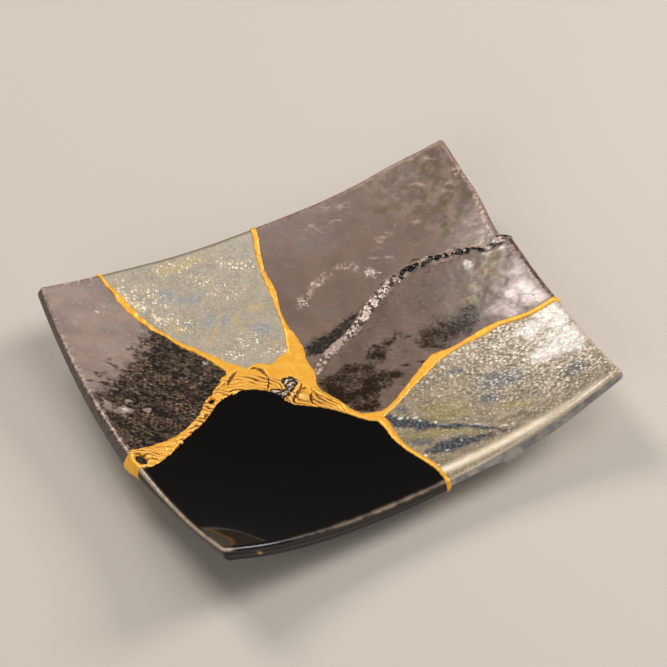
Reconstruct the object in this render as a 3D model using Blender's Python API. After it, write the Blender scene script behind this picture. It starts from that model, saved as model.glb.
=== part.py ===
"""Kintsugi plate: six pottery shards joined by a gold seam and a black lacquer seam.

The plate is a slab of nearly rectangular plan, low in the middle, with its rim and
corners swept up. It is built once as a whole slab on a low foot ring. The fracture
lines are wide ribbons drawn in plan: what they leave of the slab is the six shards,
and what they take out of a slightly thicker slab is the two seams.

Plan points and widths are in millimetres, +X to the right along the long side,
+Y to the back. Everything is built in metres, +Z up, on a table at Z = 0.
"""

import math
from dataclasses import dataclass

import bmesh
import bpy
import numpy as np
from mathutils import Vector

MM = 0.001

# Rim: the corners and the outward bow of each side, at the top edge of the rim.
RIM_CORNERS = {
    "back_left": (-91.5, 77.0),
    "back_right": (92.0, 73.0),
    "front_right": (87.5, -72.5),
    "front_left": (-89.7, -77.0),
}
SIDE_BOW = {"back": 2.0, "right": 3.5, "front": 2.0, "left": 5.2}
BOW_POWER = 2.0
PLAN_CENTRE = (-1.4, 0.4)

# Dish: height of the top surface over the table, and its rise to the rim.
CENTRE_HEIGHT = 8.0
SIDE_RISE = {"back": 13.2, "right": 14.0, "front": 10.5, "left": 15.5}
CORNER_RISE = 27.0
RISE_POWER = 2.3

# Wall thickness at the four corners, thickest on the black shard.
CORNER_THICKNESS = {
    "back_left": 5.6,
    "back_right": 5.4,
    "front_right": 4.8,
    "front_left": 6.9,
}
RIM_ROUNDING = 1.7
RIM_ROUNDING_STEPS = 3
GRID_STEPS_X = 22
GRID_STEPS_Y = 18

# Foot: a rounded rectangular ring under the middle of the slab.
FOOT_HALF_LENGTH = 43.0
FOOT_HALF_WIDTH = 35.0
FOOT_CORNER_RADIUS = 13.0
FOOT_WALL = 5.0
FOOT_TOP = 7.4
FOOT_CORNER_STEPS = 5

# Seams stand proud of the pottery, and every joint keeps a hair gap.
SEAM_PROUD = 0.55
SEAM_FOOT_CLEARANCE = 0.3
JOINT_GAP = 0.3
RIBBON_STEP = 3.0

# Fracture ribbons, each point (x, y, width), from the rim or a junction inwards.
UMBER_CELADON_RIBBON = [
    (-66.0, 88.0, 1.6),
    (-65.6, 77.0, 1.6),
    (-63.7, 70.0, 1.8),
    (-61.5, 62.0, 2.9),
    (-58.0, 53.0, 2.1),
    (-54.5, 48.0, 1.8),
    (-47.8, 38.3, 2.3),
    (-41.2, 30.0, 2.9),
    (-35.5, 20.5, 4.8),
]
UMBER_BLACK_RIBBON = [
    (-39.0, 14.0, 10.0),
    (-44.5, 11.4, 6.2),
    (-51.6, 7.3, 4.6),
    (-59.8, 0.6, 3.5),
    (-69.6, -4.9, 3.1),
    (-74.2, -7.3, 4.4),
    (-78.8, -9.3, 6.2),
    (-88.3, -12.2, 9.8),
    (-93.5, -13.4, 13.0),
    (-104.0, -15.5, 17.0),
]
CELADON_MAUVE_RIBBON = [
    (4.6, 88.0, 2.4),
    (4.0, 76.0, 2.4),
    (0.8, 66.0, 2.2),
    (-1.2, 59.0, 1.9),
    (-1.8, 52.5, 2.8),
    (-2.3, 47.0, 2.6),
    (-4.3, 38.5, 1.6),
    (-5.2, 33.0, 1.7),
    (-6.4, 25.0, 4.0),
]
MAUVE_CELADON_RIBBON = [
    (4.0, -28.2, 4.0),
    (10.5, -27.0, 2.0),
    (17.0, -24.0, 2.4),
    (24.2, -20.2, 2.8),
    (31.0, -17.0, 3.8),
    (39.0, -13.5, 4.6),
    (45.0, -13.6, 2.5),
    (49.7, -13.4, 2.0),
    (62.0, -13.5, 3.3),
    (68.0, -13.7, 2.5),
    (80.0, -17.4, 2.2),
    (90.0, -18.2, 2.7),
    (104.0, -19.6, 3.0),
]
BLACK_CELADON_RIBBON = [
    (4.8, -25.5, 5.0),
    (4.4, -35.0, 3.1),
    (4.0, -42.0, 2.7),
    (4.3, -49.0, 1.9),
    (7.3, -61.5, 2.3),
    (8.2, -68.0, 1.8),
    (7.4, -77.0, 2.0),
    (6.6, -92.0, 2.4),
]
LACQUER_RIBBON = [
    (-12.0, 0.5, 2.6),
    (-5.0, 5.0, 2.7),
    (3.0, 10.7, 3.1),
    (15.7, 15.4, 2.6),
    (32.3, 25.0, 3.5),
    (44.5, 30.3, 3.2),
    (56.0, 31.2, 2.9),
    (68.0, 28.4, 3.1),
    (77.1, 25.4, 2.8),
    (86.2, 20.6, 2.4),
    (92.0, 21.6, 2.6),
    (104.0, 22.6, 2.6),
]

# The broad pool of gold where the ribbons meet, as one closed outline in plan.
GOLD_POOL = [
    (-41.5, 8.2),
    (-37.7, 9.0),
    (-31.5, 7.0),
    (-26.5, 3.2),
    (-24.4, -2.0),
    (-21.7, -7.0),
    (-16.3, -10.4),
    (-10.8, -15.2),
    (-6.3, -20.3),
    (-0.6, -28.2),
    (2.6, -31.0),
    (6.6, -30.0),
    (8.5, -27.6),
    (5.6, -26.3),
    (-0.5, -23.7),
    (-2.9, -19.7),
    (-5.2, -12.5),
    (-8.1, -6.2),
    (-8.7, -1.5),
    (-6.1, 5.0),
    (-6.1, 12.0),
    (-4.0, 19.0),
    (-4.1, 29.0),
    (-6.2, 29.6),
    (-9.3, 23.6),
    (-11.0, 19.3),
    (-15.5, 18.6),
    (-19.8, 16.6),
    (-24.5, 19.6),
    (-29.9, 19.1),
    (-34.2, 23.2),
    (-38.6, 19.6),
]

# A run of thick glaze hangs from the front rim of the right celadon shard.
DRIP_PLACE = 0.38
DRIP_RADII = (5.2, 1.9, 2.3)
DRIP_DROP = 4.1
DRIP_OUT = 1.4

# A point well inside each shard, which gives the shard its name.
SHARD_ANCHORS = {
    "shard_umber_left": (-70.0, 25.0),
    "shard_celadon_middle": (-30.0, 50.0),
    "shard_mauve_corner": (50.0, 55.0),
    "shard_mauve_side": (40.0, 8.0),
    "shard_celadon_right": (45.0, -45.0),
    "shard_black": (-40.0, -40.0),
}

# Finishes: base colour, roughness and metallic value of each piece.
FINISHES = {
    "shard_umber_left": ((0.075, 0.052, 0.046), 0.35, 0.0),
    "shard_celadon_middle": ((0.235, 0.225, 0.165), 0.35, 0.0),
    "shard_mauve_corner": ((0.165, 0.115, 0.115), 0.32, 0.0),
    "shard_mauve_side": ((0.125, 0.088, 0.090), 0.32, 0.0),
    "shard_celadon_right": ((0.270, 0.245, 0.160), 0.38, 0.0),
    "shard_black": ((0.004, 0.004, 0.005), 0.06, 0.0),
    "gold_seam": ((0.820, 0.480, 0.090), 0.38, 1.0),
    "lacquer_seam": ((0.012, 0.011, 0.011), 0.30, 0.0),
}

# How far a cutter reaches below the table and over it.
CUTTER_DEPTH = 60.0

NORMAL_STEP = 0.001
PARAMETER_ROUNDS = 12
ROUNDED_EDGE_ANGLE = 40.0
SHARP_EDGE_ANGLE = 35.0


@dataclass(frozen=True)
class RimShift:
    """A local shift of the rim, fading out at a distance from its place in plan.

    The shift holds on the high side of the ribbon, the low shift on its other side,
    where high means the larger Y, or the larger X for a ribbon that runs along Y.
    A shift of the lower edge grows from nothing at the top of the wall.
    """

    place: tuple
    reach: float
    shift: tuple
    low_shift: tuple
    ribbon: tuple = ()
    along_y: bool = False
    lower_edge: bool = False


# The shards were never one plate, so their rims don't quite meet at the seams.
RIM_SHIFTS = (
    RimShift((92.0, 22.0), 27.0, (-3.0, 0.0, 0.0), (0.5, 0.0, 0.0), tuple(LACQUER_RIBBON)),
    RimShift(
        (-96.0, -2.0),
        46.0,
        (-0.8, 0.0, 0.0),
        (0.0, 0.0, 0.0),
        tuple(UMBER_BLACK_RIBBON),
        lower_edge=True,
    ),
    RimShift(
        (-91.0, -62.0),
        72.0,
        (0.0, 0.0, 0.0),
        (3.3, 0.0, 0.0),
        tuple(UMBER_BLACK_RIBBON),
        lower_edge=True,
    ),
    RimShift(
        (14.0, -78.0),
        27.0,
        (0.0, 0.0, 1.5),
        (0.0, 0.0, 0.0),
        tuple(BLACK_CELADON_RIBBON),
        along_y=True,
        lower_edge=True,
    ),
    RimShift((54.0, -76.0), 26.0, (0.0, 0.0, -1.2), (0.0, 0.0, -1.2), lower_edge=True),
    RimShift((-62.0, 80.0), 48.0, (0.0, 0.4, 0.8), (0.0, 0.4, 0.8)),
    RimShift((70.0, 78.0), 26.0, (0.0, 0.4, 0.8), (0.0, 0.4, 0.8)),
    RimShift((-90.0, -77.0), 24.0, (0.0, 0.0, 1.2), (0.0, 0.0, 1.2)),
)


def corner_weights(u, v):
    """Return the share of each rim corner at the plan parameters u and v."""
    return {
        "back_left": (1.0 - u) * (1.0 + v) / 4.0,
        "back_right": (1.0 + u) * (1.0 + v) / 4.0,
        "front_right": (1.0 + u) * (1.0 - v) / 4.0,
        "front_left": (1.0 - u) * (1.0 - v) / 4.0,
    }


def plan_point(u, v):
    """Return the plan place of u and v, which run from -1 to 1 across the plate."""
    weights = corner_weights(u, v)
    x = sum(weights[name] * RIM_CORNERS[name][0] for name in weights)
    y = sum(weights[name] * RIM_CORNERS[name][1] for name in weights)
    bow_x = SIDE_BOW["right"] if u > 0.0 else SIDE_BOW["left"]
    bow_y = SIDE_BOW["back"] if v > 0.0 else SIDE_BOW["front"]
    x += bow_x * u * (1.0 - abs(v) ** BOW_POWER)
    y += bow_y * v * (1.0 - abs(u) ** BOW_POWER)
    return x - PLAN_CENTRE[0], y - PLAN_CENTRE[1]


def top_height(u, v):
    """Return the height of the dish over the table at u and v."""
    rise_u = SIDE_RISE["right"] if u > 0.0 else SIDE_RISE["left"]
    rise_v = SIDE_RISE["back"] if v > 0.0 else SIDE_RISE["front"]
    share_u = abs(u) ** RISE_POWER
    share_v = abs(v) ** RISE_POWER
    corner = (CORNER_RISE - rise_u - rise_v) * share_u * share_v
    return CENTRE_HEIGHT + rise_u * share_u + rise_v * share_v + corner


def top_point(u, v):
    """Return the point of the dish at u and v."""
    x, y = plan_point(u, v)
    return Vector((x, y, top_height(u, v)))


def top_normal(u, v):
    """Return the upward normal of the dish at u and v."""
    along_u = top_point(u + NORMAL_STEP, v) - top_point(u - NORMAL_STEP, v)
    along_v = top_point(u, v + NORMAL_STEP) - top_point(u, v - NORMAL_STEP)
    return along_u.cross(along_v).normalized()


def wall_thickness(u, v):
    """Return the thickness of the slab at u and v."""
    weights = corner_weights(u, v)
    return sum(weights[name] * CORNER_THICKNESS[name] for name in weights)


def make_object(name, mesh):
    """Link a mesh to the scene as an object and return the object."""
    piece = bpy.data.objects.new(name, mesh)
    bpy.context.collection.objects.link(piece)
    return piece


def mesh_from(name, bm):
    """Turn a bmesh in millimetres into a mesh in metres with outward faces."""
    bmesh.ops.recalc_face_normals(bm, faces=bm.faces)
    bmesh.ops.scale(bm, vec=(MM, MM, MM), verts=bm.verts)
    mesh = bpy.data.meshes.new(name)
    bm.to_mesh(mesh)
    bm.free()
    return mesh


def slab(name, grow):
    """Make the curved slab, thickened by grow on every side, with a rounded rim."""
    bm = bmesh.new()
    layers = []
    for side in (1.0, -1.0):
        layer = []
        for row in range(GRID_STEPS_Y + 1):
            v = 2.0 * row / GRID_STEPS_Y - 1.0
            for column in range(GRID_STEPS_X + 1):
                u = 2.0 * column / GRID_STEPS_X - 1.0
                place = top_point(u, v)
                normal = top_normal(u, v)
                if side > 0.0:
                    place += normal * grow
                else:
                    place -= normal * (wall_thickness(u, v) + grow)
                place.x += math.trunc(u) * grow
                place.y += math.trunc(v) * grow
                layer.append(bm.verts.new(place))
        layers.append(layer)
    across = GRID_STEPS_X + 1
    for layer in layers:
        for row in range(GRID_STEPS_Y):
            for column in range(GRID_STEPS_X):
                corner = row * across + column
                ring = (corner, corner + 1, corner + across + 1, corner + across)
                bm.faces.new([layer[index] for index in ring])
    boundary = [edge for edge in bm.edges if edge.is_boundary]
    bmesh.ops.bridge_loops(bm, edges=boundary)
    piece = make_object(name, mesh_from(name, bm))
    rounding = piece.modifiers.new("rim_rounding", "BEVEL")
    rounding.width = (RIM_ROUNDING + grow) * MM
    rounding.segments = RIM_ROUNDING_STEPS
    rounding.limit_method = "ANGLE"
    rounding.angle_limit = math.radians(ROUNDED_EDGE_ANGLE)
    return piece


def rounded_rectangle(half_length, half_width, radius):
    """Return the plan outline of a rounded rectangle, counterclockwise."""
    outline = []
    for quarter in range(4):
        sign_x = 1.0 if quarter in (0, 3) else -1.0
        sign_y = 1.0 if quarter in (0, 1) else -1.0
        for step in range(FOOT_CORNER_STEPS + 1):
            angle = math.radians(90.0 * (quarter + step / FOOT_CORNER_STEPS))
            x = sign_x * (half_length - radius) + radius * math.cos(angle)
            y = sign_y * (half_width - radius) + radius * math.sin(angle)
            outline.append((x, y))
    return outline


def foot_ring(name, grow, bottom):
    """Make the foot ring, grown sideways by grow, from the height bottom up."""
    bm = bmesh.new()
    rings = []
    for inset in (-grow, FOOT_WALL + grow):
        outline = rounded_rectangle(
            FOOT_HALF_LENGTH - inset,
            FOOT_HALF_WIDTH - inset,
            FOOT_CORNER_RADIUS - inset,
        )
        for height in (bottom, FOOT_TOP):
            rings.append([bm.verts.new((x, y, height)) for x, y in outline])
    outer_low, outer_high, inner_low, inner_high = rings
    count = len(outer_low)
    pairs = (
        (outer_low, outer_high),
        (outer_high, inner_high),
        (inner_high, inner_low),
        (inner_low, outer_low),
    )
    for first, second in pairs:
        for index in range(count):
            after = (index + 1) % count
            bm.faces.new((first[index], first[after], second[after], second[index]))
    return make_object(name, mesh_from(name, bm))


def catmull_rom(before, start, end, after, share):
    """Return the point a share of the way from start to end on a smooth curve."""
    square = share * share
    cube = square * share
    return tuple(
        0.5
        * (
            2.0 * b
            + (c - a) * share
            + (2.0 * a - 5.0 * b + 4.0 * c - d) * square
            + (3.0 * b - a - 3.0 * c + d) * cube
        )
        for a, b, c, d in zip(before, start, end, after)
    )


def smooth_path(points, closed=False):
    """Return points about RIBBON_STEP apart on a smooth curve through the given ones."""
    count = len(points)
    path = []
    for index in range(count if closed else count - 1):
        if closed:
            near = [points[(index + shift) % count] for shift in (-1, 0, 1, 2)]
        else:
            near = [points[min(max(index + shift, 0), count - 1)] for shift in (-1, 0, 1, 2)]
        length = math.dist(near[1][:2], near[2][:2])
        steps = max(1, round(length / RIBBON_STEP))
        for step in range(steps):
            path.append(catmull_rom(*near, step / steps))
    if not closed:
        path.append(points[-1])
    return path


def prism(name, outline, top):
    """Make an upright prism on a plan outline that goes through the whole slab."""
    bm = bmesh.new()
    low = [bm.verts.new((x, y, -CUTTER_DEPTH)) for x, y in outline]
    base = bm.faces.new(low)
    raised = bmesh.ops.extrude_face_region(bm, geom=[base])
    lifted = [item for item in raised["geom"] if isinstance(item, bmesh.types.BMVert)]
    bmesh.ops.translate(bm, vec=(0.0, 0.0, CUTTER_DEPTH + top), verts=lifted)
    return make_object(name, mesh_from(name, bm))


def ribbon_prism(name, points, grow, top):
    """Make the prism of a fracture ribbon, widened by grow on each side."""
    path = smooth_path(points)
    left = []
    right = []
    for index, (x, y, width) in enumerate(path):
        before = path[max(index - 1, 0)]
        after = path[min(index + 1, len(path) - 1)]
        along = Vector((after[0] - before[0], after[1] - before[1])).normalized()
        reach = width / 2.0 + grow
        x -= PLAN_CENTRE[0]
        y -= PLAN_CENTRE[1]
        left.append((x - along.y * reach, y + along.x * reach))
        right.append((x + along.y * reach, y - along.x * reach))
    return prism(name, right + left[::-1], top)


def pool_prism(name, grow, top):
    """Make the prism of the gold pool, widened by grow."""
    path = smooth_path(GOLD_POOL, closed=True)
    outline = []
    for index, (x, y) in enumerate(path):
        before = path[index - 1]
        after = path[(index + 1) % len(path)]
        along = Vector((after[0] - before[0], after[1] - before[1])).normalized()
        outline.append((x - PLAN_CENTRE[0] + along.y * grow, y - PLAN_CENTRE[1] - along.x * grow))
    return prism(name, outline, top)


def settled(piece):
    """Replace an object's mesh and modifiers by the shape that they make."""
    graph = bpy.context.evaluated_depsgraph_get()
    shape = bpy.data.meshes.new_from_object(piece.evaluated_get(graph))
    piece.modifiers.clear()
    piece.data = shape
    return piece


def boolean(piece, operation, cutter):
    """Join, cut or trim a piece with a cutter, which is used up."""
    change = piece.modifiers.new(operation.lower(), "BOOLEAN")
    change.operation = operation
    change.solver = "EXACT"
    change.object = cutter
    settled(piece)
    bpy.data.objects.remove(cutter)
    return piece


def gold_network(name, grow):
    """Make the cutter of the whole gold seam: five ribbons and the pool."""
    network = pool_prism(name, grow, CUTTER_DEPTH)
    ribbons = (
        UMBER_CELADON_RIBBON,
        UMBER_BLACK_RIBBON,
        CELADON_MAUVE_RIBBON,
        MAUVE_CELADON_RIBBON,
        BLACK_CELADON_RIBBON,
    )
    for index, points in enumerate(ribbons):
        top = CUTTER_DEPTH + 1.0 + index
        boolean(network, "UNION", ribbon_prism(f"{name}_ribbon", points, grow, top))
    return network


def footed_slab(name, grow, foot_bottom):
    """Make the slab with its foot ring joined on, grown by grow."""
    body = settled(slab(name, grow))
    return boolean(body, "UNION", foot_ring(f"{name}_foot", grow, foot_bottom))


def split_parts(whole):
    """Break an object into its separate bodies and return their meshes."""
    source = bmesh.new()
    source.from_mesh(whole.data)
    source.verts.ensure_lookup_table()
    unseen = set(range(len(source.verts)))
    meshes = []
    while unseen:
        stack = [unseen.pop()]
        body = set(stack)
        while stack:
            vertex = source.verts[stack.pop()]
            for edge in vertex.link_edges:
                neighbour = edge.other_vert(vertex).index
                if neighbour in unseen:
                    unseen.remove(neighbour)
                    body.add(neighbour)
                    stack.append(neighbour)
        part = source.copy()
        part.verts.ensure_lookup_table()
        spare = [vertex for vertex in part.verts if vertex.index not in body]
        bmesh.ops.delete(part, geom=spare, context="VERTS")
        mesh = bpy.data.meshes.new(whole.name)
        part.to_mesh(mesh)
        part.free()
        meshes.append(mesh)
    source.free()
    return meshes


def plan_parameters(x, y):
    """Return the u and v whose plan place is x and y."""
    half_length = RIM_CORNERS["back_right"][0]
    half_width = RIM_CORNERS["back_left"][1]
    u = x / half_length
    v = y / half_width
    for _ in range(PARAMETER_ROUNDS):
        near_x, near_y = plan_point(u, v)
        u += (x - near_x) / half_length
        v += (y - near_y) / half_width
    return min(max(u, -1.0), 1.0), min(max(v, -1.0), 1.0)


def high_share(rim_shift, x, y):
    """Return 1 on the high side of the ribbon, 0 on its low side, between across it."""
    if not rim_shift.ribbon:
        return 1.0
    along, across = (y, x) if rim_shift.along_y else (x, y)
    order = 1 if rim_shift.along_y else 0
    points = sorted(rim_shift.ribbon, key=lambda point: point[order])
    stations = [point[order] for point in points]
    middle = np.interp(along, stations, [point[1 - order] for point in points])
    width = np.interp(along, stations, [point[2] for point in points])
    return min(max((across - middle) / width + 0.5, 0.0), 1.0)


def shift_rim(piece):
    """Move a piece's points by every rim shift, the same way on both sides of a joint."""
    for vertex in piece.data.vertices:
        x, y, z = vertex.co / MM
        u, v = plan_parameters(x, y)
        depth = min(max((top_height(u, v) - z) / wall_thickness(u, v), 0.0), 1.0)
        x += PLAN_CENTRE[0]
        y += PLAN_CENTRE[1]
        for rim_shift in RIM_SHIFTS:
            share = max(0.0, 1.0 - math.dist((x, y), rim_shift.place) / rim_shift.reach)
            share *= share * (3.0 - 2.0 * share)
            if rim_shift.lower_edge:
                share *= depth
            high = high_share(rim_shift, x, y)
            move = Vector(rim_shift.low_shift).lerp(Vector(rim_shift.shift), high)
            vertex.co += move * share * MM


def add_drip(piece):
    """Join a run of thick glaze to the front rim of a shard."""
    edge = top_point(DRIP_PLACE, -1.0)
    bm = bmesh.new()
    bmesh.ops.create_icosphere(bm, subdivisions=2, radius=1.0)
    bmesh.ops.scale(bm, vec=DRIP_RADII, verts=bm.verts)
    place = (edge.x, edge.y - DRIP_OUT, edge.z - DRIP_DROP)
    bmesh.ops.translate(bm, vec=place, verts=bm.verts)
    boolean(piece, "UNION", make_object("glaze_drip", mesh_from("glaze_drip", bm)))


def finish(piece, name):
    """Name a piece, smooth its round faces and give it its own material."""
    piece.name = name
    piece.data.name = name
    piece.data.shade_smooth()
    piece.data.set_sharp_from_angle(angle=math.radians(SHARP_EDGE_ANGLE))
    colour, roughness, metallic = FINISHES[name]
    material = bpy.data.materials.new(name)
    material.use_nodes = True
    shader = material.node_tree.nodes["Principled BSDF"]
    shader.inputs["Base Color"].default_value = (*colour, 1.0)
    shader.inputs["Roughness"].default_value = roughness
    shader.inputs["Metallic"].default_value = metallic
    piece.data.materials.clear()
    piece.data.materials.append(material)


def nearest_shard(mesh):
    """Return the name of the shard whose anchor lies nearest to a mesh's middle."""
    count = len(mesh.vertices)
    middle_x = sum(vertex.co.x for vertex in mesh.vertices) / count / MM + PLAN_CENTRE[0]
    middle_y = sum(vertex.co.y for vertex in mesh.vertices) / count / MM + PLAN_CENTRE[1]
    return min(
        SHARD_ANCHORS,
        key=lambda name: math.dist(SHARD_ANCHORS[name], (middle_x, middle_y)),
    )


def build_shards():
    """Break the footed slab along the fracture ribbons into the six named shards."""
    whole = footed_slab("slab", 0.0, 0.0)
    boolean(whole, "DIFFERENCE", gold_network("gold_cut", JOINT_GAP))
    lacquer_cut = ribbon_prism("lacquer_cut", LACQUER_RIBBON, JOINT_GAP, CUTTER_DEPTH)
    boolean(whole, "DIFFERENCE", lacquer_cut)
    for mesh in split_parts(whole):
        name = nearest_shard(mesh)
        shard = make_object(name, mesh)
        shift_rim(shard)
        if name == "shard_celadon_right":
            add_drip(shard)
        finish(shard, name)
    bpy.data.objects.remove(whole)


def build_gold_seam():
    """Cut the gold seam out of the proud slab."""
    seam = footed_slab("gold_seam", SEAM_PROUD, SEAM_FOOT_CLEARANCE)
    boolean(seam, "INTERSECT", gold_network("gold_zone", 0.0))
    shift_rim(seam)
    finish(seam, "gold_seam")


def build_lacquer_seam():
    """Cut the lacquer seam out of the proud slab, clear of the gold."""
    seam = footed_slab("lacquer_seam", SEAM_PROUD, SEAM_FOOT_CLEARANCE)
    zone = ribbon_prism("lacquer_zone", LACQUER_RIBBON, 0.0, CUTTER_DEPTH)
    boolean(seam, "INTERSECT", zone)
    boolean(seam, "DIFFERENCE", gold_network("gold_clearance", JOINT_GAP))
    shift_rim(seam)
    finish(seam, "lacquer_seam")


def main():
    """Clear the scene and build the plate."""
    for piece in list(bpy.data.objects):
        bpy.data.objects.remove(piece)
    build_shards()
    build_gold_seam()
    build_lacquer_seam()


main()
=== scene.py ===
"""Kintsugi plate: the finished looks of the six pottery shards and the two seams.

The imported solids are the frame. Each shard and each seam is modelled again here as a
fine mesh on the same named sizes, with the relief of its own glaze, gold or lacquer,
and replaces its solid. A piece starts as a flat grid in the plate's two parameters,
is cut along the fracture lines, thickened, and then bent to the form of the plate.

Plan sizes are in millimetres, +X to the right and +Y to the back, from the drawing's
origin, which lies PLAN_CENTRE off the middle of the footprint. Meshes are in metres.
"""

import logging
import math
from dataclasses import dataclass, fields
from enum import Enum
from typing import Callable

import bpy
import numpy as np
from mathutils import Matrix, Vector

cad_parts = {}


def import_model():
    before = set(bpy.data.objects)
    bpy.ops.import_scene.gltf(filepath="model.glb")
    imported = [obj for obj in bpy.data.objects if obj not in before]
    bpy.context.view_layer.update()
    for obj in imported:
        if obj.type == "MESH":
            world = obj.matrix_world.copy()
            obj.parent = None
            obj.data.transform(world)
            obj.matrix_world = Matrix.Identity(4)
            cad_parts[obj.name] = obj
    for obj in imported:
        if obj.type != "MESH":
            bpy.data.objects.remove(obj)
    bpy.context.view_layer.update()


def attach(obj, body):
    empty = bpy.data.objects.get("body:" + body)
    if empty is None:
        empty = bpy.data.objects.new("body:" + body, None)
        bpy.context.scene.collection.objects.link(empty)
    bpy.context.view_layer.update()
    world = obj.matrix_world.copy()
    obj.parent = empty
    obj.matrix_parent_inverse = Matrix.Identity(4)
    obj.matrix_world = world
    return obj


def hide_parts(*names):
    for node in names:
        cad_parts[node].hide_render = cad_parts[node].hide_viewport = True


LOG = logging.getLogger("kintsugi_plate")
MM = 0.001
PLAN_CENTRE = (-1.4, 0.4)
FAR_AWAY = 1000.0

# The direction in which most marks of the glazes are drawn out, in degrees from X.
GLAZE_TURN = -29.0

Array = np.ndarray
Points = tuple[tuple[float, ...], ...]
Colour = tuple[float, float, float]

# The grid of the whole plate: one cell is about half a millimetre, and half of that on
# the seams. The sides are cut into rows.
GRID_COLUMNS = 352
GRID_ROWS = 292
CELL = 0.53
SIDE_ROWS = 9
SEAM_SIDE_ROWS = 5
LEAST_SHARD_VERTICES = 1000
SMOOTH_ANGLE = math.radians(50.0)

# Fracture ribbons, each point (x, y, width), and the broad pool where they meet.
UMBER_CELADON_RIBBON = (
    (-66, 88, 1.6), (-65.6, 77, 1.6), (-63.7, 70, 1.8), (-61.5, 62, 2.9), (-58, 53, 2.1),
    (-54.5, 48, 1.8), (-47.8, 38.3, 2.3), (-41.2, 30, 2.9), (-35.5, 20.5, 4.8),
)
UMBER_BLACK_RIBBON = (
    (-39, 14, 10), (-44.5, 11.4, 6.2), (-51.6, 7.3, 4.6), (-59.8, 0.6, 3.5), (-69.6, -4.9, 3.1),
    (-74.2, -7.3, 4.4), (-78.8, -9.3, 6.2), (-88.3, -12.2, 9.8), (-92, -13, 11),
    (-95.5, -14.2, 6.5), (-104, -16, 4.5),
)
CELADON_MAUVE_RIBBON = (
    (4.6, 88, 2.4), (4, 76, 2.4), (0.8, 66, 2.2), (-1.2, 59, 1.9), (-1.8, 52.5, 2.8),
    (-2.3, 47, 2.6), (-4.3, 38.5, 1.6), (-5.2, 33, 1.7), (-6.4, 25, 4),
)
MAUVE_CELADON_RIBBON = (
    (3.6, -28.8, 3.4), (10.5, -27, 2.2), (17, -24, 2.4), (24.2, -20.2, 2.8), (31, -17, 3.8),
    (39, -13.5, 4.6), (45, -13.6, 2.5), (49.7, -13.4, 2), (62, -13.5, 3.3), (68, -13.7, 2.5),
    (80, -17.4, 2.2), (90, -18.2, 2.7), (104, -19.6, 3),
)
BLACK_CELADON_RIBBON = (
    (4.4, -28.2, 3.6), (4.4, -35, 3.1), (4, -42, 2.7), (4.3, -49, 1.9), (7.3, -61.5, 2.3),
    (8.2, -68, 1.8), (7.4, -77, 2), (6.6, -92, 2.4),
)
LACQUER_RIBBON = (
    (-12, 0.5, 2.6), (-5, 5, 2.7), (3, 10.7, 3.1), (15.7, 15.4, 2.6), (32.3, 25, 3.5),
    (44.5, 30.3, 3.2), (56, 31.2, 2.9), (68, 28.4, 3.1), (77.1, 25.4, 2.8), (86.2, 20.6, 2.4),
    (92, 21.6, 2.6), (104, 22.6, 2.6),
)
GOLD_POOL = (
    (-41.5, 8.2), (-37.7, 9), (-31.5, 7), (-26.5, 3.2), (-24.4, -2), (-21.7, -7), (-16.3, -10.4),
    (-10.8, -15.2), (-6.3, -20.3), (-0.6, -28.2), (2.6, -31), (6.6, -30), (8.5, -27.6),
    (5.6, -26.3), (-0.5, -23.7), (-2.9, -19.7), (-5.2, -12.5), (-8.1, -6.2), (-8.7, -1.5),
    (-6.1, 5), (-6.1, 12), (-4, 19), (-4.1, 29), (-6.2, 29.6), (-9.3, 23.6), (-11, 19.3),
    (-15.5, 18.6), (-19.8, 16.6), (-24.5, 19.6), (-29.9, 19.1), (-34.2, 23.2), (-38.6, 19.6),
)


def ease(low: float, high: float, value: Array) -> Array:
    """Return a smooth step from 0 at low to 1 at high."""
    share = np.clip((value - low) / (high - low), 0.0, 1.0)
    return share * share * (3.0 - 2.0 * share)


def bell(value: Array, middle: float, width: float) -> Array:
    """Return 1 at the middle, falling to nearly 0 two widths away."""
    return np.exp(-(((value - middle) / width) ** 2))


def lattice(column: Array, row: Array, seed: int) -> Array:
    """Hash whole numbers.

    Args:
        column: Whole numbers.
        row: More whole numbers.
        seed: Number that picks the field.

    Returns:
        A fixed random number from -1 to 1 for each column and row.
    """
    mixed = (column * 374761393 + row * 668265263 + seed * 362437) & 0xFFFFFFFF
    mixed = ((mixed ^ (mixed >> 13)) * 1274126177) & 0xFFFFFFFF
    return ((mixed ^ (mixed >> 16)) & 0xFFFF) / 32767.5 - 1.0


def grain(x: Array, y: Array, size: float, seed: int) -> Array:
    """Make a smooth random field.

    Args:
        x: Plan places along X.
        y: Plan places along Y.
        size: Width of one bump, in the same unit.
        seed: Number that picks the field.

    Returns:
        Values from -1 to 1.
    """
    column = np.floor(x / size)
    row = np.floor(y / size)
    right = ease(0.0, 1.0, x / size - column)
    up = ease(0.0, 1.0, y / size - row)
    column = column.astype(np.int64)
    row = row.astype(np.int64)
    low = lattice(column, row, seed) * (1.0 - right) + lattice(column + 1, row, seed) * right
    high = lattice(column, row + 1, seed) * (1.0 - right)
    high += lattice(column + 1, row + 1, seed) * right
    return low * (1.0 - up) + high * up


def rough(x: Array, y: Array, size: float, fine: float, share: float, seed: int) -> Array:
    """Return a field of bumps as wide as size, with a share of another as wide as fine."""
    return grain(x, y, size, seed) + share * grain(x, y, fine, seed + 1)


def turned(x: Array, y: Array, degrees: float) -> tuple[Array, Array]:
    """Turn the axes that places are read along.

    Args:
        x: Plan places along X.
        y: Plan places along Y.
        degrees: The turn of the new axis from X.

    Returns:
        The places along the new axis, and across it.
    """
    angle = math.radians(degrees)
    along = x * math.cos(angle) + y * math.sin(angle)
    return along, y * math.cos(angle) - x * math.sin(angle)


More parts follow.
